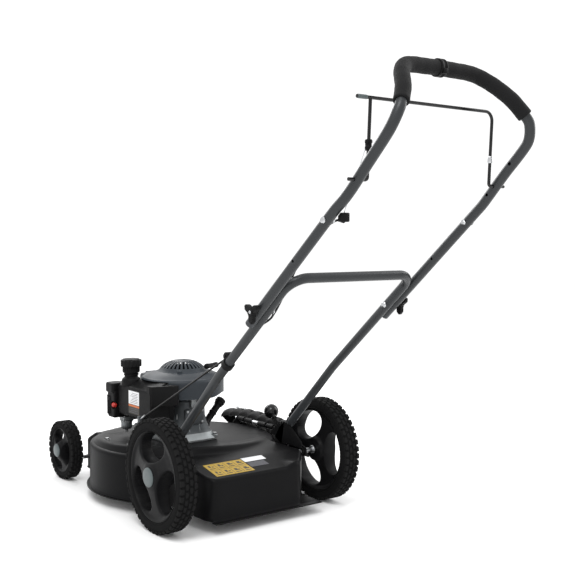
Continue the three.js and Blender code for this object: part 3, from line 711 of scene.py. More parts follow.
def rim_shape(wheel, first):
    """A dished plastic rim with three deep openings between broad rounded spokes."""
    rim, half, side = wheel["rim"] - 0.3, wheel["half"], wheel["side"]
    scale = rim / RIM_DRAWN
    bore = 6.9
    hub = wheel["hub"]
    face_r = [0, hub * 0.86, hub, hub + 8 * scale, 58 * scale, 78 * scale, 98 * scale, 103 * scale,
              106.5 * scale, rim]
    face_h = [half + 8, half + 8, half + 7, half + 4, half, half - 3.4, half - 5, half - 4.6, half - 2.2,
              half - 2]
    back_r = [0, hub, hub + 5, rim - 8 * scale, rim - 3 * scale, rim]
    back_h = [-half, -half, -half * 0.6, -half * 0.6, -half + 2.5, -half + 2]

    def front(r, a):
        return np.interp(r, face_r, face_h) - eased(opening_gap(wheel, first, r, a), 5 * scale)

    def back(r, a):
        return np.interp(r, back_r, back_h) + eased(opening_gap(wheel, first, r, a), 3 * scale)

    def spot(r, a):
        return Vector((r * sin(a), r * cos(a)))

    points, edges = [], []

    def loop(ring):
        base = len(points)
        points.extend(ring)
        edges.extend((base + k, base + (k + 1) % len(ring)) for k in range(len(ring)))

    sides = 90
    for r in (bore, rim):
        loop([spot(r, TAU * k / sides) for k in range(sides)])
    rings = [hub * 0.6, hub * 0.86, hub, hub + 4, hub + 8 * scale, 103 * scale, 106.5 * scale]
    rings += list(np.arange(hub + 12 * scale, 100 * scale, 4.5 * scale))
    for r in rings:
        count = max(36, int(TAU * r / (5 * scale)))
        for k in range(count):
            a = TAU * (k + 0.5) / count
            if opening_gap(wheel, first, r, a) > 5.4 * scale:
                points.append(spot(r, a))
    across, along = OPENING_HALF[1] * rim, OPENING_HALF[0] * rim
    for gap in (0, 0.35 * scale, 1.1 * scale, 2.3 * scale, 3.6 * scale, 5 * scale):
        grow = 1 + gap / across
        for k in range(3):
            ring = []
            for j in range(72):
                t = TAU * j / 72
                c, s = cos(t), sin(t)
                p = copysign(abs(c) ** (2 / OPENING_POWER), c) * along * grow
                q = copysign(abs(s) ** (2 / OPENING_POWER), s) * across * grow
                r = min(OPENING_CENTRE * rim + q, rim - 1.2)
                ring.append(spot(r, first + TAU * k / 3 + p / (OPENING_CENTRE * rim)))
            if gap == 0:
                loop(ring)
            else:
                points.extend(ring)
    flat, _, triangles, _, _, _ = delaunay_2d_cdt(points, edges, [], 0, 1e-4)
    polar = [(v.length, atan2(v.x, v.y)) for v in flat]
    count = len(flat)
    verts = []
    for height in (front, back):
        for (r, a), v in zip(polar, flat):
            verts.append(Vector((side * float(height(r, a)), v.x, v.y)) + wheel["centre"])
    faces, seen = [], {}
    for tri in triangles:
        middle_of = sum((flat[k] for k in tri), Vector((0, 0))) / len(tri)
        r, a = middle_of.length, atan2(middle_of.x, middle_of.y)
        if r < bore * 0.99 or opening_gap(wheel, first, r, a) < 0:
            continue
        faces += [list(tri), [k + count for k in tri[::-1]]]
        for k in range(len(tri)):
            edge = (tri[k], tri[(k + 1) % len(tri)])
            seen[frozenset(edge)] = None if frozenset(edge) in seen else edge
    for edge in seen.values():
        if edge:
            a, b = edge
            faces.append([b, a, a + count, b + count])
    return Shape().add((verts, faces))


def hub_cap_shape(wheel):
    side, half, radius = wheel["side"], wheel["half"], wheel["hub"] * 0.8
    low = half + 8.3
    dome = [(radius - 0.6, low), (radius, low + 0.5), (radius, low + 2), (radius - 1.2, low + 3.4)]
    dome += [(radius * sin(a), low + 3.2 + 3.2 * cos(a) - 0.2) for a in (1.05, 0.8, 0.55, 0.3)]
    outline = [(0, low)] + dome + [(0, low + 6.1)]
    return Shape().add(turned([(r, side * h) for r, h in outline], 48, "x", wheel["centre"]))


for prefix, first in FIRST_OPENING.items():
    wheel = wheel_sizes(prefix)
    body = prefix + "_wheel"
    look(prefix + "_tyre", tyre_shape(wheel), RUBBER, body, "tyre_rubber", 30)
    look(prefix + "_rim", rim_shape(wheel, first), RIM, body, "black_plastic", 40)
    look(prefix + "_hub_cap", hub_cap_shape(wheel), CAP, body, "cap_grey")


# ---- deck: one pressed sheet, drawn as profiles round the blade's axis ----
REAR_PLAN = [(-170, 150), (-170, -78), (-157, -102), (104, -102), (170, -22), (170, 150)]
FRONT_PLAN = [(-165, 470), (-165, 600), (-152, 612), (152, 612), (165, 600), (165, 470)]
SHEET = 3
FLAT = 147
SHOULDER = 11


def reach(outline, angle):
    """How far a ray from the blade's axis goes before it leaves an outline; 0 where it misses."""
    ahead = (sin(angle), cos(angle))
    far = 0
    for k, (ax, ay) in enumerate(outline):
        bx, by = outline[(k + 1) % len(outline)]
        ay, by = ay - BLADE_Y, by - BLADE_Y
        ex, ey = bx - ax, by - ay
        den = ahead[0] * ey - ahead[1] * ex
        if abs(den) < 1e-9:
            continue
        run = (ax * ey - ay * ex) / den
        share = (ax * ahead[1] - ay * ahead[0]) / den
        if run > 0 and 0 <= share <= 1:
            far = max(far, run)
    return far


def blended(a, b, soft=7):
    """The greater of two heights, with a soft valley where they meet."""
    return max(a, b) + soft / 4 * max(0, 1 - abs(a - b) / soft) ** 2


def deck_top(x, y):
    """Height of the deck's top face; the ring's crest is high at the left rear, flat at the right front."""
    r = hypot(x, y - BLADE_Y)
    rise = 7 - 18 * cos(atan2(x, y - BLADE_Y) - pi / 4)
    rise = max(rise, 0) / 25
    bowl = np.interp(r, [150, 178, 205, 222, 232, 240, 246, 251, 262, 300],
                     [FLAT, FLAT + 4 * rise, FLAT + 13 * rise, FLAT + 22 * rise, FLAT + 25 * rise,
                      FLAT + 21 * rise, FLAT + 11.5 * rise, FLAT + 4.5 * rise, 146, 30])
    rear = np.interp(y, [-102, -95, -15, 160, 300], [131, 134, 151, 152, 12])
    front = np.interp(y, [330, 470, 540, 600, 612], [12, 150, 146, 118, 108])
    rear += 9 * min(1, max(0, x - 66) / 26) * min(1, max(0, -60 - y) / 30)
    rear -= 3 * max(0, abs(x) - 171)
    front -= 3 * max(0, abs(x) - 166)
    return float(blended(blended(bowl, rear), front))


def deck_shape():
    columns = 480
    angles = [TAU * k / columns for k in range(columns)]
    plan = np.array([max(WALL, reach(REAR_PLAN, a), reach(FRONT_PLAN, a)) for a in angles])
    plan = sum(np.roll(plan, k) * w for k, w in ((-2, 1), (-1, 2), (0, 3), (1, 2), (2, 1))) / 9
    plan = np.maximum(plan, WALL)
    inner = [24, 26, 90, 150, 164, 178, 192, 205, 214, 222, 227, 232, 236, 240, 243, 246, 249]
    rows = [[] for _ in range(len(inner) + 14 + 6 + 10 + 3)]
    for angle, wall in zip(angles, plan):
        sn, cs = sin(angle), cos(angle)
        edge = max(wall - SHOULDER, 250.5)
        radii = inner + [249.5 + (edge - 249.5) * k / 14 for k in range(1, 15)]
        column = [(r, deck_top(r * sn, BLADE_Y + r * cs)) for r in radii]
        high = column[-1][1]
        turn = wall - edge
        for k in range(1, 7):
            a = pi / 2 * k / 6
            column.append((edge + turn * sin(a), high - turn * (1 - cos(a))))
        start = high - turn
        foot = 37.5
        share = (start - 132) / (start - foot) if start > 134 else 0.07
        steps = [share] + [share + (1 - share) * k / 9 for k in range(1, 10)]
        column += [(wall, start + (foot - start) * t) for t in steps]
        flange = 9 if wall < WALL + 3 else 3
        column += [(wall + 0.9, 34), (wall + 2.6, 31.6), (wall + flange, 31)]
        for row, (r, z) in zip(rows, column):
            row.append((r * sn, BLADE_Y + r * cs, z))

    def kept(p):
        mouth = p[0] > 196 and 185 < p[1] < 445 and p[2] < 132
        slot = abs(p[0]) > 160 and -11 < p[1] < 42 and 80 < p[2] < 147.6
        return not (mouth or slot)

    shape = Shape().add(sheet(rows, -SHEET, kept, True))
    shape.add(rounded((-165, -118, 28), (165, -99.5, 31), 1.2))
    shape.add(plate([(102, -101), (164.5, -101), (169, -24)], 28.1, 30.9))
    for y in (217, 413):
        ear = [(237, 141), (263, 141), *arc((HINGE.x, HINGE.z), 6.4, 0, pi, 8), (240, 152)]
        shape.add(plate(ear, y - 2, y + 2, "xz"))
    for x, y in ((-205, 250), (-205, 380), (0, 505), (-70, 470)):
        z = deck_top(x, y)
        shape.add(post((x, y), z - 0.6, z + 0.7, 8.5), 1)
        shape.add(hexagon((x, y, z + 0.5), (x, y, z + 4.6), 6), 1)
    return shape


def label(name, low, high, material, lift=0.5, marks=(), ink=None):
    """A printed patch on the deck's rear slope, with plain printed shapes on it."""
    shape = Shape()

    def patch(x0, y0, x1, y1, height, mark):
        across, along = max(2, int((x1 - x0) / 5)), max(2, int((y1 - y0) / 5))
        grid = []
        for i in range(along + 1):
            y = y1 + (y0 - y1) * i / along
            row = []
            for j in range(across + 1):
                x = x0 + (x1 - x0) * j / across
                row.append((x, y, deck_top(x, y) + height))
            grid.append(row)
        shape.add(sheet(grid, 0.3 if mark == 0 else 0.15), mark)

    patch(*low, *high, lift, 0)
    for x0, y0, x1, y1 in marks:
        patch(x0, y0, x1, y1, lift + 0.12, 1)
    use = [material] + ([ink] if ink else [])
    return piece(name, shape, use, "chassis", "deck_paint")


def warning_marks(low, high):
    """Plain pictogram-like marks in two rows of four, with lines between them."""
    out = []
    wide, tall = (high[0] - low[0]) / 4, (high[1] - low[1]) / 2
    for k in range(1, 4):
        x = low[0] + wide * k
        out.append((x - 0.5, low[1] + 2, x + 0.5, high[1] - 2))
    out.append((low[0] + 2, low[1] + tall - 0.5, high[0] - 2, low[1] + tall + 0.5))
    for row in range(2):
        for k in range(4):
            x, y = low[0] + wide * (k + 0.5), low[1] + tall * (row + 0.5)
            out.append((x - wide * 0.3, y - tall * 0.32, x + wide * 0.3, y - tall * 0.22))
            out.append((x - wide * 0.2, y - tall * 0.05, x + wide * (0.05 * k), y + tall * 0.28))
            out.append((x + wide * 0.12, y - tall * 0.05, x + wide * 0.3, y + tall * 0.1))
    return out


look("deck_shell", deck_shape(), [DECK, ZINC], "chassis", "deck_paint", 38)
YELLOW_LOW, YELLOW_HIGH = (-140, -84), (-27, -17)
label("deck_label_yellow", YELLOW_LOW, YELLOW_HIGH, YELLOW, marks=warning_marks(YELLOW_LOW, YELLOW_HIGH),
      ink=INK)
label("deck_label_white", (-24, -36), (42, -13), WHITE)
label("deck_label_grey", (-24, -66), (30, -40), GREY, marks=[(-20, -46, 24, -45), (-20, -52, 18, -51),
                                                             (-20, -58, 22, -57)], ink=CAST_DARK)


# ---- discharge deflector ----
def deflector_shape():
    """An arched hood with a scalloped back, on knuckles round the hinge rod."""
    low, high = extent("deflector")
    front, rear = high.y, low.y
    section = smooth_route([(261.5, 0, 166), (266, 0, 179), (279, 0, 188.5), (297, 0, 183.5),
                            (318.5, 0, 160), (336, 0, 118), (344.5, 0, 70.2)], 4)
    steps = 112
    rows = []
    for k in range(steps + 1):
        share = k / steps
        y = front + (rear - front) * share
        hump = abs(sin(pi * 7 * share)) ** 0.55
        arch = np.interp(share, [0, 0.04, 0.14, 0.34, 0.6, 0.9, 1], [0.50, 0.62, 0.80, 0.99, 1, 0.86, 0.8])
        row = []
        for p in section:
            t = (p.z - 70) / 118
            near = max(0, min(1, t))
            x = p.x - 4.6 * (1 - hump) * near
            z = p.z - (1 - arch) * 34 * near - 5.2 * (1 - hump) * near
            row.append((x, y, z))
        rows.append(row)
    shape = Shape().add(sheet(rows, 2.6))
    for y0, y1, lift in ((rear + 0.4, rear + 3, 0.8), (front - 3, front - 0.4, 0.5)):
        drop = (1 - lift) * 34
        wall = [(262, 150)] + [(p.x - 1.5, p.z - drop * max(0, (p.z - 70) / 118) - 1.5) for p in section]
        shape.add(plate(wall, y0, y1, "xz", 0.4))
    for y0, y1 in ((225, 255), (263, 299), (331, 367), (375, 405)):
        shape.add(turned([(4.6, y0), (7.4, y0), (8, y0 + 0.8), (8, y1 - 0.8), (7.4, y1), (4.6, y1)], 28,
                         "y", (HINGE.x, 0, HINGE.z)))
        shape.add(rounded((HINGE.x + 3, y0 + 2, HINGE.z + 1), (HINGE.x + 11, y1 - 2, HINGE.z + 8), 0.8))
    for y in (190, 440, 480):
        shape.add(bar((300, y, 176), (303.6, y, 181.4), 5.5, 20, 1.2), 1)
    return shape


def spring_shape():
    turns = 11
    points = []
    for k in range(turns * 16 + 1):
        a = TAU * k / 16
        points.append((HINGE.x + 5.5 * cos(a), 300.8 + 28.4 * k / (turns * 16), HINGE.z + 5.5 * sin(a)))
    return Shape().add(swept(points, 1.1, 8))


def hinge_rod_shape():
    low, high = extent("deflector_rod")
    x, _, z = (low + high) / 2
    return Shape().add(bar((x, low.y, z), (x, high.y, z), 4, 24, 0.8))


look("deflector", deflector_shape(), [PLASTIC, ZINC], "deflector", "black_plastic")
look("deflector_spring", spring_shape(), ZINC, "chassis", "zinc")
look("deflector_rod", hinge_rod_shape(), ZINC, "chassis", "zinc")


# ---- engine, around the crankshaft ----
ENGINE = Vector((0, BLADE_Y, 0))
TANK_LOW, TANK_HIGH = extent("fuel_tank")
CAP_AXIS = from_frame(middle("fuel_cap"))
PRIMER = from_frame(middle("primer_bulb"))


def placed(shell):
    """Moves a shell drawn round the crankshaft to its place."""
    return shifted(shell, ENGINE)


def lofted(rows, sides=72, centre=(0, 0)):
    """Rounded-square sections, each (half width, half depth, squareness, height), stacked and capped."""
    rings = []
    for wide, deep, power, height in rows:
        ring = []
        for k in range(sides):
            c, s = cos(TAU * k / sides), sin(TAU * k / sides)
            r = (abs(c / wide) ** power + abs(s / deep) ** power) ** (-1 / power)
            ring.append((centre[0] + r * c, centre[1] + r * s, height))
        rings.append(ring)
    return stacked(rings)


def moulded(low, high, power=8, edge=2.5, sides=88, draft=0):
    """A moulded block: a rounded-square section with rounded top and bottom edges."""
    wide, deep = (high[0] - low[0]) / 2, (high[1] - low[1]) / 2
    rows = []
    for k in range(5):
        a = pi / 2 * k / 4
        inset = edge * (1 - sin(a))
        rows.append((wide - draft - inset, deep - draft - inset, power, low[2] + edge * (1 - cos(a))))
    for k in range(5):
        a = pi / 2 * k / 4
        inset = edge * (1 - cos(a))
        rows.append((wide - inset, deep - inset, power, high[2] - edge * (1 - sin(a))))
    return lofted(rows, sides, ((low[0] + high[0]) / 2, (low[1] + high[1]) / 2))


def fluted(radius, depth, flutes, low, high, centre, edge=1.4):
    steps = flutes * 6
    outline = []
    for k in range(steps):
        a = TAU * k / steps
        r = radius - depth * (0.5 - 0.5 * cos(flutes * a)) ** 2
        outline.append((centre[0] + r * cos(a), centre[1] + r * sin(a)))
    return plate(outline, low, high, "xy", edge, 2)


def crankcase_shape():
    """Flared base, barrel, fins and head; mark 2 is bare casting, 0 a darker metal, 1 the bolts."""
    shape = Shape(ENGINE)
    base = [(77, 77, 6, 147.4), (78, 78, 6, 148.4), (78, 78, 6, 153), (76.5, 76.5, 6, 155.4),
            (73, 73, 5, 160), (69, 69, 4.4, 170)]
    column = [(69.6, 69.6, 4.4, 168), (66, 66, 3.4, 180), (63, 63, 2.6, 198), (62, 62, 2.2, 214),
              (62, 62, 2, 259), (60, 60, 2, 262)]
    shape.add(lofted(base, 96), 2)
    shape.add(lofted(column, 96))
    for k in range(12):
        turn = TAU * (k + 0.5) / 12
        rib = plate([(58, 158), (74, 158), (70, 172), (66, 190), (63.5, 226), (58, 228)], -1.8, 1.8, "xz",
                    0.7)
        shape.add(spun(rib, turn), 2)
    for x in (-66, 66):
        for y in (-66, 66):
            shape.add(post((x, y), 152, 160, 8.6, 28, 1), 2)
            shape.add(hexagon((x, y, 160), (x, y, 166), 6), 1)
    shape.add(rounded((-37, 40, 171), (37, 126, 255), 3))
    for k in range(8):
        y = 58 + 8.4 * k
        shape.add(rounded((-49.5, y, 162.5), (49.5, y + 2.4, 261.5), 1.1, 2))
    shape.add(rounded((-43.6, 121, 166.5), (43.6, 137.8, 259.5), 3))
    for x in (-34, 34):
        for z in (176, 250):
            shape.add(hexagon((x, 137.4, z), (x, 142.5, z), 5.2), 1)
    shape.add(rounded((-30, -67, 196), (30, -60, 240), 2.4))
    for x in (-24, 24):
        for z in (202, 234):
            shape.add(hexagon((x, -66.6, z), (x, -70.5, z), 4), 1)
    shape.add(rounded((-14, -72, 244), (2, -52, 270), 2.4), 2)
    shape.add(post((-6, -62), 262, 274, 5, 24, 0.8), 1)
    return shape


HOOD_PLAN = [(-64, 60), (-64, 150), (64, 150), (64, 60)]


def shroud_shape():
    """The blower housing: round behind, drawn out over the cylinder in front, cut back round the tank."""
    columns = 240
    narrowest, widest, edge_radius = 118, 160, 9
    slope_r, slope_z = 94, 335.2
    rows = [[] for _ in range(6 + 8 + 6 + 9)]
    hood = [(x, y + BLADE_Y) for x, y in HOOD_PLAN]
    plan = np.array([max(narrowest, reach(hood, TAU * k / columns)) for k in range(columns)])
    plan = sum(np.roll(plan, k) for k in range(-3, 4)) / 7
    plan = np.minimum(plan, widest)
    for k, wall in enumerate(plan):
        a = TAU * k / columns
        sn, cs = sin(a), cos(a)
        far = min(1, (wall - narrowest) / 30)
        edge = wall - edge_radius
        column = [(66.3, 343.6), (72, 342.6), (78, 341), (84, 339), (89, 337.2), (slope_r, slope_z)]
        crest = 328.5 - 4.5 * far
        for j in range(1, 9):
            t = j / 8
            column.append((slope_r + (edge - slope_r) * t, slope_z + (crest - slope_z) * t))
        for j in range(1, 7):
            t = pi / 2 * j / 6
            column.append((edge + edge_radius * sin(t), crest - edge_radius * (1 - cos(t))))
        foot = 275.5 + 8 * max(0, sin(3 * a + 0.6)) ** 2
        top = crest - edge_radius
        column += [(wall, top + (foot - top) * j / 9) for j in range(1, 10)]
        for row, (r, z) in zip(rows, column):
            row.append((r * sn, r * cs, z))

    def kept(p):
        return not (p[0] < -89 and -81 < p[1] < 106 and p[2] < 323.5)

    shape = Shape(ENGINE).add(sheet(rows, -2.4, kept, True))
    for a in (0.5, 1.5, 2.7):
        x, y = 84 * sin(a), 84 * cos(a)
        shape.add(post((x, y), 336, 340.6, 5.5, 24, 0.8))
        shape.add(hexagon((x, y, 340.2), (x, y, 342.4), 3.6), 1)
    for k in range(7):
        y = 78 + 9 * k
        shape.add(rounded((-46, y, 324), (46, y + 4, 328.6), 1.4, 2))
    return shape


def starter_shape():
    """The domed cover of the recoil starter, with a ring of slots."""
    slots, fine = 30, 6
    profile = [(8, 373.4), (14, 373), (20, 372.4), (26, 371.4), (30, 370.4), (34, 369.2), (39, 367.4),
               (44, 365.2), (49, 362.6), (53, 360), (57, 356.8), (61, 353), (64.5, 349), (68, 345.4),
               (71.4, 342.9)]
    turns = [TAU * k / (slots * fine) for k in range(slots * fine)]
    rows = [[(r * sin(a), r * cos(a), z) for a in turns] for r, z in profile]

    def kept(p):
        r = hypot(p[0], p[1])
        share = (atan2(p[0], p[1]) / TAU * slots) % 1
        return not (30 < r < 61 and share < 0.5)

    shape = Shape(ENGINE).add(sheet(rows, -2.6, kept, True))
    shape.add(turned([(0, 370.8), (8.6, 370.8), (10.4, 371.6), (10.4, 373), (9, 373.8), (0, 374)], 40))
    for k in range(3):
        a = TAU * k / 3 + 0.4
        shape.add(spun(rounded((-7, 62, 342.8), (7, 71, 350), 2), a))
    return shape


def tank_shape():
    """One moulding: a body whose top slopes down outward, a foot inward and a lobe round the shroud."""
    shape = Shape()
    low, high = TANK_LOW - ENGINE, TANK_HIGH - ENGINE
    left = low.x
    body = soft_corners([(left + 0.6, 217.3), (-90.6, 217.3), (-90.6, 321.4), (-105, 321.4),
                         (left + 0.6, 302.4)], 8, 6)
    shape.add(placed(plate(body, -79.4, high.y - 0.6, "xz", 4.5, 4)))
    shape.add(placed(moulded((-96, -78, 217), (-66, high.y - 2, 262), 7, 4, 80, 1)))
    sweep = [atan2(-75, -93.5), atan2(-96, -71)]
    inner = []
    for k in range(13):
        a = sweep[0] + (sweep[1] - sweep[0]) * k / 12
        inner.append((120.4 * sin(a), 120.4 * cos(a)))
    lobe = [(-149, -60), (-149.3, -76), (-145, -82), (-92, -100), (-80, -104), (-75, -104),
            (-71.5, -100)] + inner
    shape.add(placed(plate(lobe + [(-97, -60)], 262.3, 317.6, "xy", 3, 3)))
    for y in (-50, 36):
        shape.add(placed(rounded((-104, y, 320), (-93, y + 12, 324.4), 1.5)))
        shape.add(placed(hexagon((-98.5, y + 6, 324), (-98.5, y + 6, 327), 3.8)), 1)
    x, y, top = CAP_AXIS.x, CAP_AXIS.y, high.z
    neck = [(15.4, -36), (27, -36), (27, -20), (24, -15), (20.4, -13), (19, -11), (19, -7), (21.4, -6.4),
            (21.4, -3.4), (19, -2.8), (19, -0.4), (15.4, -0.4)]
    shape.add(turned([(r, top + h) for r, h in neck], 56, "z", (x, y, 0)))
    return shape


def tank_label():
    """A plain printed label: a pale block, a warm stripe and a dark block with bars."""
    shape = Shape()
    face = TANK_LOW.x + 0.6
    y0, y1 = 296, 358

    def patch(z0, z1, lift, mark, inset=0.0, far=0.0):
        shape.add(rounded((face - lift, y0 + inset, z0), (face + 0.3, y1 - inset - far, z1), 0.1, 1), mark)

    patch(230, 294.5, 0.2, 2)
    patch(257, 294, 0.35, 0, 0.6)
    patch(250, 255.4, 0.35, 1, 0.3)
    for k in range(7):
        patch(261 + 4.4 * k, 262.3 + 4.4 * k, 0.42, 3, 8, (5 * k) % 17)
    for k in range(3):
        patch(233 + 5.5 * k, 235.4 + 5.5 * k, 0.35, 3, 6, (9 * k) % 13)
    piece("fuel_tank_label", shape, [WHITE, ORANGE, INK, GREY], "chassis", "black_plastic")


def fuel_cap_shape():
    """A ribbed skirt under a fluted top; heights count down from the cap's top."""
    x, y, top = CAP_AXIS.x, CAP_AXIS.y, extent("fuel_cap")[1].z
    skirt = [(0, -49), (12.6, -49), (12.6, -39.6), (23, -39.6), (23.6, -38.6), (23, -25), (24.5, -21.5),
             (0, -21.5)]
    shape = Shape().add(turned([(r, top + h) for r, h in skirt], 56, "z", (x, y, 0)))
    shape.add(fluted(29.8, 2.2, 16, top - 22, top - 3.4, (x, y), 1.6))
    crown = [(0, -4), (25, -4), (25.4, -2.8), (23, -0.8), (12, -0.2), (0, 0)]
    shape.add(turned([(r, top + h) for r, h in crown], 56, "z", (x, y, 0)))
    for k in range(24):
        rib = rounded((22.6, -1.2, top - 37.5), (24.6, 1.2, top - 24), 0.5, 1)
        shape.add(spun(shifted(rib, (x, y, 0)), TAU * k / 24, (x, y, 0)))
    return shape


def air_cleaner():
    low, high = extent("air_cleaner_cover")
    box = Shape().add(moulded((low.x + 4, low.y + 0.4, low.z), (high.x, high.y - 5, 284), 9, 4, 88, 1))
    made = mesh_object("air_cleaner_cover_look", box, [PLASTIC])
    well = turned([(0, -8), (9, -8), (9.6, 0), (11.4, 9), (12, 16), (0, 16)], 40, "x")
    face = extent("primer_bulb")[1].x
    well = [Vector((face - v.x, v.y + PRIMER.y, v.z + PRIMER.z)) for v in well[0]], well[1]
    carve(made, Shape().add(well), 32, 0.8)
    rest = Shape().add(moulded((low.x, low.y + 1, 276), (high.x, high.y, high.z), 6, 5, 88))
    for k in range(4):
        y = PRIMER.y + 14 + 6 * k
        rest.add(rounded((low.x + 3.2, y, 212), (low.x + 6, y + 2.6, 268), 1))
    rest.add(rounded((low.x + 2, PRIMER.y + 15, 254), (low.x + 8, high.y - 8, 262), 1.4))
    joined(made, mesh_object("cover_rest", rest, [PLASTIC]))
    settle(made, "chassis", ["air_cleaner_cover"])
    base_low, base_high = extent("air_cleaner_base")
    base = Shape().add(moulded(base_low, base_high, 8, 2.5))
    for z in (222, 254, 286):
        base.add(rounded((base_low.x + 0.3, base_low.y, z), (base_high.x - 1, base_high.y, z + 4), 1))
    look("air_cleaner_base", base, PLASTIC, "chassis", "black_plastic")
    dome = [(0, 12), (2.6, 11.7), (5.2, 10.4), (7, 7.8), (7.7, 4.6), (7.9, 1), (7.4, 0), (0, 0)]
    bulb = turned([(r, -h) for r, h in dome], 40, "x", (face, PRIMER.y, PRIMER.z))
    look("primer_bulb", Shape().add(bulb), RED, "primer", "primer_red")


def carburettor_shape():
    shape = Shape(ENGINE)
    x, y = -114, 125
    shape.add(turned([(0, 161), (4, 161), (5, 166), (13, 168), (15.6, 172), (16, 178), (16, 187),
                      (17.4, 188), (17.4, 192), (0, 192)], 48, "z", (x, y, 0)))
    shape.add(turned([(0, 158.6), (5.4, 158.6), (5.4, 163), (0, 163)], 6, "z", (x, y, 0)), 1)
    shape.add(rounded((-130, 111, 191), (-98, 139, 204.7), 2.4))
    shape.add(pin(-101, -44.4, (125, 198), 6.5, 28))
    shape.add(pin(-58, -52, (125, 198), 12, 28))
    for dx, dy in ((-12, -10), (12, -10), (-12, 10), (12, 10)):
        shape.add(post((x + dx, y + dy), 202, 206.5, 2.6, 16), 1)
    return shape


def muffler_shape():
    low, high = extent("muffler")
    shape = Shape().add(rounded(low, high, 7, 4))
    for k in range(8):
        y = low.y + 9 + 6.6 * k
        shape.add(rounded((high.x - 3, y, low.z + 12), (high.x, y + 2.4, high.z - 12), 0.8, 1))
    for y in (low.y + 6, high.y - 6):
        shape.add(nut(high.x - 4, high.x, (y, high.z - 8), 4), 1)
    shape.add(bar((high.x - 14, low.y + 1, low.z + 14), (high.x - 14, low.y - 12, low.z + 14), 6, 24, 1))
    return shape


def plug_shapes():
    z = 213
    plug = Shape(ENGINE).add(hexagon((0, 138.4, z), (0, 147, z), 7))
    plug.add(bar((0, 146, z), (0, 158, z), 5.4, 28, 0.8), 1)
    look("spark_plug", plug, [ZINC, WHITE], "chassis", "zinc")
    boot = Shape(ENGINE).add(turned([(0, 158.4), (8.2, 158.4), (9, 160), (9, 164), (7.6, 166), (7.8, 177),
                                     (8.6, 180), (6.6, 183.6), (0, 184)], 36, "y", (0, 0, z)))
    for k in range(3):
        boot.add(turned([(7.4, 167 + 3 * k), (8.5, 167.6 + 3 * k), (8.5, 168.8 + 3 * k),
                         (7.4, 169.4 + 3 * k)], 36, "y", (0, 0, z)))
    look("plug_boot", boot, RUBBER, "chassis", "tyre_rubber")
    lead = [(3, 178, 219), (14, 184, 232), (30, 178, 246), (44, 162, 256), (50, 146, 266), (50, 136, 276)]
    wire = Shape(ENGINE).add(swept(smooth_route(lead), 3.4, 16))
    piece("ignition_lead", wire, CABLE, "chassis", "cable_black")


def oil_parts():
    start, end = Vector((48, -24, 170)), Vector((122, -4, 236))
    along = (end - start).normalized()
    tube_points = [start + along * d for d in (17, 22, 26, 30, 60, 64, 67, 90, 94, 98,
                                               (end - start).length)]
    tube = Shape(ENGINE).add(swept(tube_points, [14, 14, 12, 10, 10, 12, 10, 10, 12.6, 13, 13], 32))
    look("oil_filler_tube", tube, PLASTIC, "chassis", "black_plastic")
    foot = end + along * 0.3
    cap = Shape(ENGINE).add(swept([foot + along * d for d in (0, 0.6, 3, 3.6)], [14, 15, 15, 14], 40))
    side = along.cross(Vector((0, 0, 1))).normalized()
    up = side.cross(along)
    rows = []
    for d, inset in ((3, 1.5), (3.8, 0), (11.4, 0), (12.9, 2)):
        ring = []
        for k in range(72):
            a = TAU * k / 72
            r = 15 - inset - 1.3 * (0.5 - 0.5 * cos(12 * a))
            ring.append(foot + along * d + side * (r * cos(a)) + up * (r * sin(a)))
        rows.append(ring)
    cap.add(stacked(rows))
    stick = foot - along * 1
    cap.add(swept([stick, stick - along * 30], 1.2, 8), 1)
    look("oil_cap", cap, [PLASTIC, ZINC], "oil_cap", "black_plastic")


def starter_grip_shape():
    a, b = Vector((36, -66, 357)), Vector((86, -50, 357))
    along = (b - a).normalized()
    length = (b - a).length
    stops = [0, 0.6, 2, 5, 12, 18, 26, 34, 40, 47, length - 2, length - 0.6, length]
    radii = [4.6, 6, 7.2, 8, 7.6, 6.8, 7.2, 6.8, 7.6, 8, 7.2, 6, 4.6]
    shape = Shape(ENGINE).add(swept([a + along * s for s in stops], radii, 28))
    shape.add(swept([(60, -57, 357), (56, -53.5, 357), (52, -50, 357)], [5.4, 4.6, 4.2], 24))
    return shape


def brake_parts():
    shape = Shape(ENGINE)
    outline = [(-58, -14), (-118, -18), (-150, -44), (-164, -44), (-164, -32), (-122, 14), (-58, 14)]
    shape.add(plate(outline, 196, 199, "xy", 0.5))
    shape.add(rounded((-164, -44, 198), (-150, -34, 234), 1.6))
    shape.add(post((-105, 5), 198, 211.4, 3, 20, 0.6), 1)
    shape.add(hexagon((-105, 5, 209.2), (-105, 5, 212.6), 5), 1)
    for x in (-74, -90):
        shape.add(hexagon((x, -8, 198.8), (x, -8, 202.8), 4.6), 1)
    look("brake_bracket", shape, [CAST_DARK, ZINC], "chassis", "zinc")
    x, y, z = -105, 5, 205
    arm = [(x + 9, y - 5), (x + 5, y - 8), (x - 2, y - 10), (-150, -17), (-156, -17), (-160, -13),
           (-160, -9), (-153, -3), (x - 4, y + 9), (x + 5, y + 9), (x + 9, y + 5)]
    lever = plate(arm, z, z + 3.8, "xy", 0.5)
    look("brake_lever", Shape(ENGINE).add(lever), CAST_DARK, "brake_lever", "zinc")


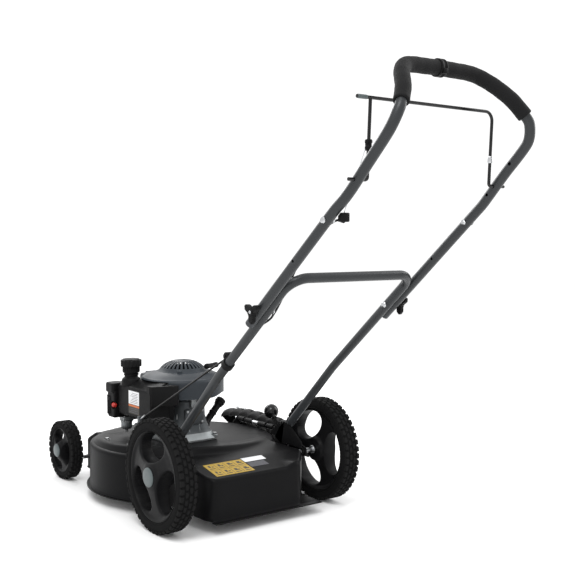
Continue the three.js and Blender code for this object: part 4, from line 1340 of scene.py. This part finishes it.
look("crankcase", crankcase_shape(), [CAST_DARK, ZINC, CAST], "chassis", "cast_aluminium")
look("blower_shroud", shroud_shape(), [SLATE, ZINC], "chassis", "shroud_slate")
look("starter_housing", starter_shape(), SLATE, "chassis", "shroud_slate")
look("fuel_tank", tank_shape(), [PLASTIC, ZINC], "chassis", "black_plastic")
tank_label()
look("fuel_cap", fuel_cap_shape(), PLASTIC, "fuel_cap", "black_plastic")
air_cleaner()
look("carburettor", carburettor_shape(), [CAST, ZINC], "chassis", "cast_aluminium")
look("muffler", muffler_shape(), [CAST_DARK, ZINC], "chassis", "deck_paint")
plug_shapes()
oil_parts()
look("starter_grip", starter_grip_shape(), PLASTIC, "starter_grip", "black_plastic")
brake_parts()


def blade_shape():
    """A flat bar with ground cutting edges and a wing turned up behind each edge."""
    cells = 12
    wide = 2 * (cells + 1)
    half = []
    for x, lead, trail in ((0, -28, 28), (60, -28, 28), (120, -28, 28), (160, -28, 28), (176, -27, 26),
                           (186, -26, 25.5), (200, -24.5, 25), (216, -23.5, 24.5), (232, -22, 24),
                           (244, -21, 23), (249.2, -20, 21.5)):
        lift = 12 * min(1, max(0, (x - 160) / 44)) ** 1.5
        row = []
        for k in range(cells + 1):
            t = k / cells
            y = lead + (trail - lead) * t
            rise = lift * max(0, (t - 0.62) / 0.38) ** 1.6
            thin = 2.9 * max(0, 1 - t / 0.16) if x > 150 else 0
            row.append((x, y, 45.1 + rise, 48.9 + rise - thin))
        half.append(row)
    rows = [[(-x, -y, a, b) for x, y, a, b in row[::-1]] for row in half[:0:-1]] + half
    verts, faces = [], []
    for row in rows:
        verts += [(x, y, z) for x, y, z, _ in row] + [(x, y, z) for x, y, _, z in row]
    for i in range(len(rows) - 1):
        for k in range(cells):
            a, b = i * wide + k, (i + 1) * wide + k
            faces.append([a, a + 1, b + 1, b])
            faces.append([a + cells + 1, b + cells + 1, b + cells + 2, a + cells + 2])
        for k in (0, cells):
            a, b = i * wide + k, (i + 1) * wide + k
            faces.append([a, b, b + cells + 1, a + cells + 1])
    for base in (0, (len(rows) - 1) * wide):
        for k in range(base, base + cells):
            faces.append([k, k + 1, k + cells + 2, k + cells + 1])
    return Shape(ENGINE).add((verts, faces))


look("blade", blade_shape(), STEEL, "rotor", "blade_steel")


# ---- handle brackets, axles and height levers ----
LEVER_ANGLE = radians(34.8)
LEG_BOLT = (50, 201.3)
GUIDE_BOLT = (-578, 754.3)
BRACKET_X = (170.3, 173.3)
AXLE_Z = 140
NOTCH_STEP = radians(10)


def bracket_shape(side):
    pivot = REAR_PIVOT
    plate_outline = [(48, 105), (100, 105), (100, 165), (80, 196), (58, 214), (30, 206), (-20, 168),
                     (-20, 154), (48, 154)]
    shape = Shape().add(plate(plate_outline, *BRACKET_X, "yz", 0.6))
    shape.add(pin(172, 201, (pivot.y, pivot.z), 5, 28, 0.8), 1)
    shape.add(nut(197.6, 201, (pivot.y, pivot.z), 8), 1)
    shape.add(pin(172, 187, LEG_BOLT, 3.9, 24, 0.6), 1)
    shape.add(nut(179.2, 184.6, LEG_BOLT, 7.4), 1)
    for y, z in ((60, 116), (88, 116), (88, 150)):
        shape.add(nut(173.2, 177.6, (y, z), 6), 1)
    if side > 0:
        rim = []
        for k in range(181):
            a = 0.42 + 1.2 * k / 180
            nearest = round((a - LEVER_ANGLE) / NOTCH_STEP)
            off = abs(a - LEVER_ANGLE - NOTCH_STEP * nearest) * 61
            open_here = 0 <= nearest <= 5 and off < 4
            r = 61 - sqrt(16 - off * off) if open_here else 64
            rim.append((pivot.y + r * cos(a), pivot.z + r * sin(a)))
        sector = [(pivot.y + 10 * cos(-0.1), pivot.z + 10 * sin(-0.1))] + rim
        shape.add(plate(sector, *BRACKET_X, "yz", 0.3, 1))
    return shape if side > 0 else shape.mirror()


def rear_axle_shape():
    low, high = extent("rear_axle")
    shape = Shape().add(pin(low.x, high.x, (0, AXLE_Z), 6.35, 32, 1), 1)
    outline = [(-12, 128), (0, 126), (62, 136), (72, 141), (74, 150), (70, 159), (60, 164), (-2, 154),
               (-11, 149), (-13, 142)]
    for side in (-1, 1):
        arm = plate(outline, 190, 194, "yz", 0.7)
        shape.add(arm if side > 0 else flipped(arm))
        shape.add(pin(side * 183, side * 198, (0, AXLE_Z), 10.5, 32, 1))
        shape.add(pin(side * 222, side * 226.6, (0, AXLE_Z), 11, 32, 0.8), 1)
    return shape


def rear_lever_shape():
    def at(along, offset):
        c, s = cos(LEVER_ANGLE), sin(LEVER_ANGLE)
        return REAR_PIVOT.y + along * c - offset * s, REAR_PIVOT.z + along * s + offset * c

    outline = [at(-12, -8), at(-4, -13), at(4, -13), at(108, -6), at(109, 0), at(108, 6), at(4, 13),
               at(-4, 13), at(-12, 8)]
    shape = Shape().add(plate(outline, 194.3, 197.3, "yz", 0.6))
    y, z = at(56, 0)
    shape.add(pin(174, 195.5, (y, z), 3, 24, 0.6), 1)
    for d in (28, 84):
        y, z = at(d, 0)
        shape.add(pin(196, 198.6, (y, z), 3, 20, 0.8), 1)
    return shape


def ball_knob_shape():
    centre = from_frame(middle("ball_knob"))
    ball = 21
    bends = np.linspace(0.12, pi - 0.12, 28)
    profile = [(0, -ball)] + [(ball * sin(a), -ball * cos(a)) for a in bends] + [(0, ball)]
    shape = Shape().add(turned(profile, 56, "z", centre))
    shape.add(turned([(20.6, -0.7), (21.25, -0.4), (21.25, 0.4), (20.6, 0.7)], 56, "z", centre))
    c, s = cos(LEVER_ANGLE), sin(LEVER_ANGLE)
    foot = Vector((199.5, REAR_PIVOT.y + 100 * c, REAR_PIVOT.z + 100 * s))
    return shape.add(swept([foot, foot.lerp(centre, 0.4), centre], [7.5, 7, 9], 28))


def front_parts():
    y, z = FRONT_PIVOT.y, FRONT_PIVOT.z
    wheel = from_frame(middle("front_left_tyre"))
    low, high = extent("front_axle")
    hub = (wheel.y, wheel.z)
    corners = [(low.x, *hub), (-192, *hub), (-182, y, z), (182, y, z), (192, *hub), (high.x, *hub)]
    axle = Shape().add(swept(bent(corners, [7, 7, 7, 7], 6), 6.35, 28))
    look("front_axle", axle, ZINC, "front_height", "zinc")
    blade = [(y - 14, z - 4), (y - 8, z - 11), (y, z - 13), (y + 9, z - 9), (y + 13, z), (574, 178),
             (567, 182), (560, 182), (y - 13, z + 8)]
    lever = Shape().add(plate(blade, 169, 172, "yz", 0.6))
    ball = 13
    bends = np.linspace(0.15, 2.35, 20)
    profile = [(0, ball)] + [(ball * sin(a), ball * cos(a)) for a in bends] + [(0, -9)]
    grip = turned(profile, 44, "z", (170.5, 566, 188))
    lever.add(grip, 1)
    look("front_height_lever", lever, [CAST_DARK, GLOSS], "front_height", "zinc")


for name, side in (("left", -1), ("right", 1)):
    look(name + "_handle_bracket", bracket_shape(side), [DECK, ZINC], "chassis", "deck_paint")
look("rear_axle", rear_axle_shape(), [DECK, ZINC], "rear_height", "zinc")
look("rear_height_lever", rear_lever_shape(), [DECK, ZINC], "rear_height", "zinc")
look("ball_knob", ball_knob_shape(), GLOSS, "rear_height", "black_plastic")
front_parts()


# ---- handle tubes, grip and fittings ----
CABLE_UPPER = [(-181, -601.5, 753), (-180.5, -585, 754), (-180.5, -570, 750), (-185, -552, 740),
               (-188.7, -530, 726), (-187, -500, 702), (-181, -470, 678), (-171, -440, 656),
               (-163, -415, 636), (-158, -390, 614), (-155, -368, 587), (-155, -352, 566.8)]
CABLE_LOWER = [(-155, -341.1, 555), (-156, -325, 540), (-163, -292, 520.5), (-166, -252, 491),
               (-171, -218, 468), (-174, -190, 446), (-171, -120, 413), (-166, 10, 351), (-160, 160, 280),
               (-157, 269.5, 227.6)]
TUBE_RADIUS = 11
LEG_X = 177.5
UPPER_HALF = [
    (-200, -312, 530.8), (-200, -440, 638.4), (-200, -560, 739.4), (-200, -600, 773), (-198, -624, 792),
    (-196, -646, 813), (-195, -688, 856), (-195, -730, 897), (-193, -749, 920), (-184, -758, 948),
    (-174, -755, 966), (-154, -739, 996), (-140, -722, 1016), (-125, -705, 1033), (-102, -689, 1048),
    (-75, -684, 1053), (-45, -682, 1054), (-11, -680.5, 1055),
]
GRIP_FROM = 10
HOLE_END = 220


def pierce(obj, holes):
    """Round holes along x; each is its two x ends, its y and z and its radius."""
    tools = Shape()
    for x0, x1, y, z, radius in holes:
        tools.add(swept([(x0, y, z), (x1, y, z)], radius, 20))
    return carve(obj, tools, 32)


def lower_handle():
    corner = (LEG_X, -434, 634.4)
    right = [(LEG_X, 33.5, 217), (LEG_X, -145, 389), corner]
    route = bent(mirrored(right) + right[::-1], [60, 45, 45, 60], 12)
    shape = Shape().add(swept(route, TUBE_RADIUS, 32, TUBE_RADIUS - 1.5))
    obj = mesh_object("lower_handle_look", shape, [TUBE])
    pierce(obj, [(-HOLE_END, HOLE_END, FOLD.y, FOLD.z, 4.4)])
    feet = Shape()
    foot = plate([(72, 193), (66, 183), (57, 178), (30, 203), (14, 219), (20, 228), (29, 235), (44, 221)],
                 173.6, 178.6, "yz", 1)
    flat = swept([(LEG_X, 20, 229), (LEG_X - 0.2, 33, 217.4), (LEG_X - 0.8, 44, 206.8)], [10.8, 9.6, 5], 32)
    feet.add(foot).add(flat).add(flipped(foot)).add(flipped(flat))
    joined(obj, mesh_object("feet", feet, [TUBE]))
    settle(obj, "chassis", ["lower_handle"])


def upper_handle():
    route = smooth_route(UPPER_HALF, 4) + smooth_route(mirrored(UPPER_HALF)[::-1], 4)
    obj = mesh_object("upper_handle_look", Shape().add(swept(route, TUBE_RADIUS, 32, TUBE_RADIUS - 1.5)),
                      [TUBE])
    pierce(obj, [(-HOLE_END, HOLE_END, FOLD.y, FOLD.z, 4.4), (-HOLE_END, HOLE_END, BAIL.y, BAIL.z, 4),
                 (-HOLE_END, HOLE_END, -480, 672.1, 3.4), (-HOLE_END, HOLE_END, *GUIDE_BOLT, 3.9),
                 (150, 197, -706, 874, 4.2), (150, 194, -645, 811.5, 3.6)])
    settle(obj, "upper_handle", ["upper_handle"])


def foam_grip_shape():
    half = UPPER_HALF[GRIP_FROM:]
    whole = half + mirrored(half)[::-1]
    route = smooth_route(whole, 8)
    first = Vector(route[0])
    ahead = (Vector(route[1]) - first).normalized()
    route = [first, first + ahead * 0.7, first + ahead * 2] + route[1:]
    last = Vector(route[-1])
    back = (Vector(route[-2]) - last).normalized()
    route = route[:-1] + [last + back * 2, last + back * 0.7, last]
    radii = []
    for k in range(len(route)):
        swell = 0.25 * sin(k * 0.9) + 0.15 * sin(k * 2.3 + 1)
        radii.append(15.7 + swell * 0.6)
    radii[:3] = [14, 15.2, 15.8]
    radii[-3:] = [15.8, 15.2, 14]
    shape = Shape().add(swept(route, radii, 40, TUBE_RADIUS + 0.6))
    top = UPPER_HALF[-1]
    ring = [(15, -9), (17.6, -9), (18.4, -7.6), (18.4, -3.4), (17.5, -2.6), (17.5, 2.6), (18.4, 3.4),
            (18.4, 7.6), (17.6, 9), (15, 9)]
    shape.add(turned(ring, 56, "x", (0, top[1], top[2])), 1)
    shape.add(rounded((-6, top[1] - 20.5, top[2] - 14), (6, top[1] - 13, top[2] - 3), 2), 1)
    return shape


def bolt_parts(name, side):
    y, z = GUIDE_BOLT
    guide = Shape().add(pin(side * 184, side * 214, (y, z), 3.4, 20, 0.5))
    guide.add(nut(side * 188.5, side * 184.4, (y, z), 6.2))
    dome = [(0, 0), (7, 0), (7, 1.2), (6, 3), (3.6, 4.2), (0, 4.5)]
    guide.add(turned([(r, side * (211.5 + h)) for r, h in dome], 32, "x", (0, y, z)))
    look(name + "_guide_bolt", guide, ZINC, "upper_handle", "zinc")
    fold = Shape().add(pin(side * 163, side * 226, (FOLD.y, FOLD.z), 3.8, 24, 0.7))
    head = [(0, 0), (3.6, 0.3), (6, 1.4), (7.4, 3.4), (7.5, 5.4), (0, 5.4)]
    fold.add(turned([(r, side * (160.6 + h)) for r, h in head], 36, "x", (0, FOLD.y, FOLD.z)))
    look(name + "_fold_bolt", fold, ZINC, "upper_handle", "zinc")
    outline = []
    for k in range(96):
        a = TAU * k / 96
        wing = 0.5 + 0.5 * sin(3 * a)
        r = 9.4 + 17.2 * wing ** 1.8
        outline.append((r * cos(a) + FOLD.y, r * sin(a) + FOLD.z))
    wings = plate(outline, 214.2, 223.8, "yz", 2.2, 3)
    hub = turned([(4.4, 211.4), (9.4, 211.4), (9.8, 213), (9.8, 222), (8.6, 224.8), (6, 224.9), (4.4, 224)],
                 40, "x", (0, FOLD.y, FOLD.z))
    knob = Shape().add(wings).add(hub)
    if side < 0:
        knob.mirror()
    look(name + "_wing_knob", knob, PLASTIC, name + "_knob", "black_plastic")


def bail_parts():
    y, z = BAIL.y, BAIL.z
    x, back, top = 172, y - 8, 983
    main = [(-206, back, top), (x, back, top), (x, y, z), (219.5, y, z)]
    shape = Shape().add(swept(bent(main, [20, 6], 10), 3.5, 20))
    shape.add(swept(bent([(-x, back, top), (-x, y, z), (-219.5, y, z)], [6], 8), 3.5, 20))
    # The grey sleeve on the crossbar's left end is a painted highlight: a lighter grey where light catches
    # that end of the bar.
    tip = [(0, -0.1), (2.6, 0), (4.1, 1.4), (4.3, 3), (4.3, 24), (3.4, 25)]
    shape.add(turned(tip, 28, "x", (-205.8, back, top)), 1)
    low, high = (Vector((x, y - 8 * (h - z) / (top - z), h)) for h in (877, 891))
    shape.add(swept([low.lerp(high, t) for t in (0, 0.12, 0.45, 0.55, 0.88, 1)],
                    [4.6, 5.4, 5.4, 5.4, 5.4, 4.6], 24), 2)
    look("bail", shape, [GLOSS, CAP, ZINC], "bail", "deck_paint")
    hook_y = y - 3.4
    ring = [(4.7, 885), (6, 885), (7.4, 887), (7.4, 891), (6, 893), (6, 897), (7.4, 899), (7.4, 903),
            (6, 905), (4.7, 905)]
    hook = Shape().add(turned(ring, 28, "z", (-x, hook_y, 0)))
    hook.add(rounded((-x - 3.4, hook_y + 3.6, 884), (-x + 3.4, hook_y + 7, 900), 1.2))
    look("cable_hook", hook, PLASTIC, "bail", "black_plastic")


def cable_fittings():
    low, high = extent("cable_anchor")
    block = mesh_object("cable_anchor_look", Shape().add(rounded(low + Vector((2, 0, 0)), high, 2.4)),
                        [PLASTIC])
    leg = Shape().add(swept([(-200, -500, 688.9), (-200, -600, 773), (-198, -624, 792), (-196, -646, 813)],
                            12.2, 32))
    carve(block, leg)
    tip = Vector(CABLE_UPPER[0])
    nose = Shape().add(swept([tip + Vector((0, d, 0.1 * d)) for d in (-3, 0, 6, 9)], [5, 4.8, 4, 3], 24))
    joined(block, mesh_object("nose", nose, [PLASTIC]))
    settle(block, "upper_handle", ["cable_anchor"])
    along = Vector((0, -202, 171.5)).normalized()
    centre = Vector((-LEG_X, -190, 427.2))
    lobe = mesh_object("cable_clip_look", Shape().add(pin(-185, -165, (-189, 446), 10, 36, 2)), [PLASTIC])
    carve(lobe, Shape().add(swept([centre - along * 60, centre + along * 60], 11.3, 32)))
    band = Shape().add(swept([centre + along * d for d in (-8, -7.2, 7.2, 8)], [13.6, 14.5, 14.5, 13.6], 40,
                             11.4))
    band.add(pin(-187, -163.4, (-189, 447), 3.4, 20, 0.8))
    joined(lobe, mesh_object("band", band, [PLASTIC]))
    settle(lobe, "chassis", ["cable_clip"])


def cables():
    upper = Shape().add(swept(smooth_route(CABLE_UPPER, 8), 2.5, 16))
    look("brake_cable_upper", upper, CABLE, "upper_handle", "cable_black")
    lower = Shape().add(swept(smooth_route(CABLE_LOWER, 10), 2.5, 16))
    end = Vector(CABLE_LOWER[-1])
    lower.add(swept([end + Vector((-1.4, -22, 11)), end + Vector((-0.2, -3, 1.4)), end], [3.4, 3.6, 3.6],
                    20), 1)
    look("brake_cable_lower", lower, [CABLE, ZINC], "chassis", "cable_black")
    bend = smooth_route([CABLE_LOWER[1], CABLE_LOWER[0], CABLE_UPPER[-1], CABLE_UPPER[-2]], 12)[10:27]
    bridge = mesh_object("brake_cable_bend", Shape().add(swept(bend, 2.45, 16)), [CABLE])
    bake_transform(bridge)
    top, foot = Vector((-176, BAIL.y + 2, 886)), Vector((-186, -611, 767))
    wire = mesh_object("brake_wire_upper", Shape().add(swept([foot.lerp(top, k / 12) for k in range(13)],
                                                             0.8, 10)), [ZINC])
    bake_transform(wire)
    start, tip = Vector(CABLE_LOWER[-1]), Vector((-156.5, 303.5, 207.5))
    wire = mesh_object("brake_wire_lower", Shape().add(swept([start.lerp(tip, k / 8) for k in range(9)],
                                                             0.8, 10)), [ZINC])
    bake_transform(wire)


lower_handle()
upper_handle()
grip = look("foam_grip", foam_grip_shape(), [FOAM, PLASTIC], "upper_handle", "foam", 50)
bolt_parts("left", -1)
bolt_parts("right", 1)
bail_parts()
cable_fittings()
cables()


# ---- what stays of the CAD gets its own look too ----
def dress(node, material):
    mesh = frame["nodes"][node].data
    mesh.materials.clear()
    mesh.materials.append(material)


KEPT = {
    "crankshaft": ZINC,
    "flywheel": CAST,
    "blade_adapter": ZINC,
    "blade_bolt": ZINC,
}
for node, material in KEPT.items():
    dress(node, material)
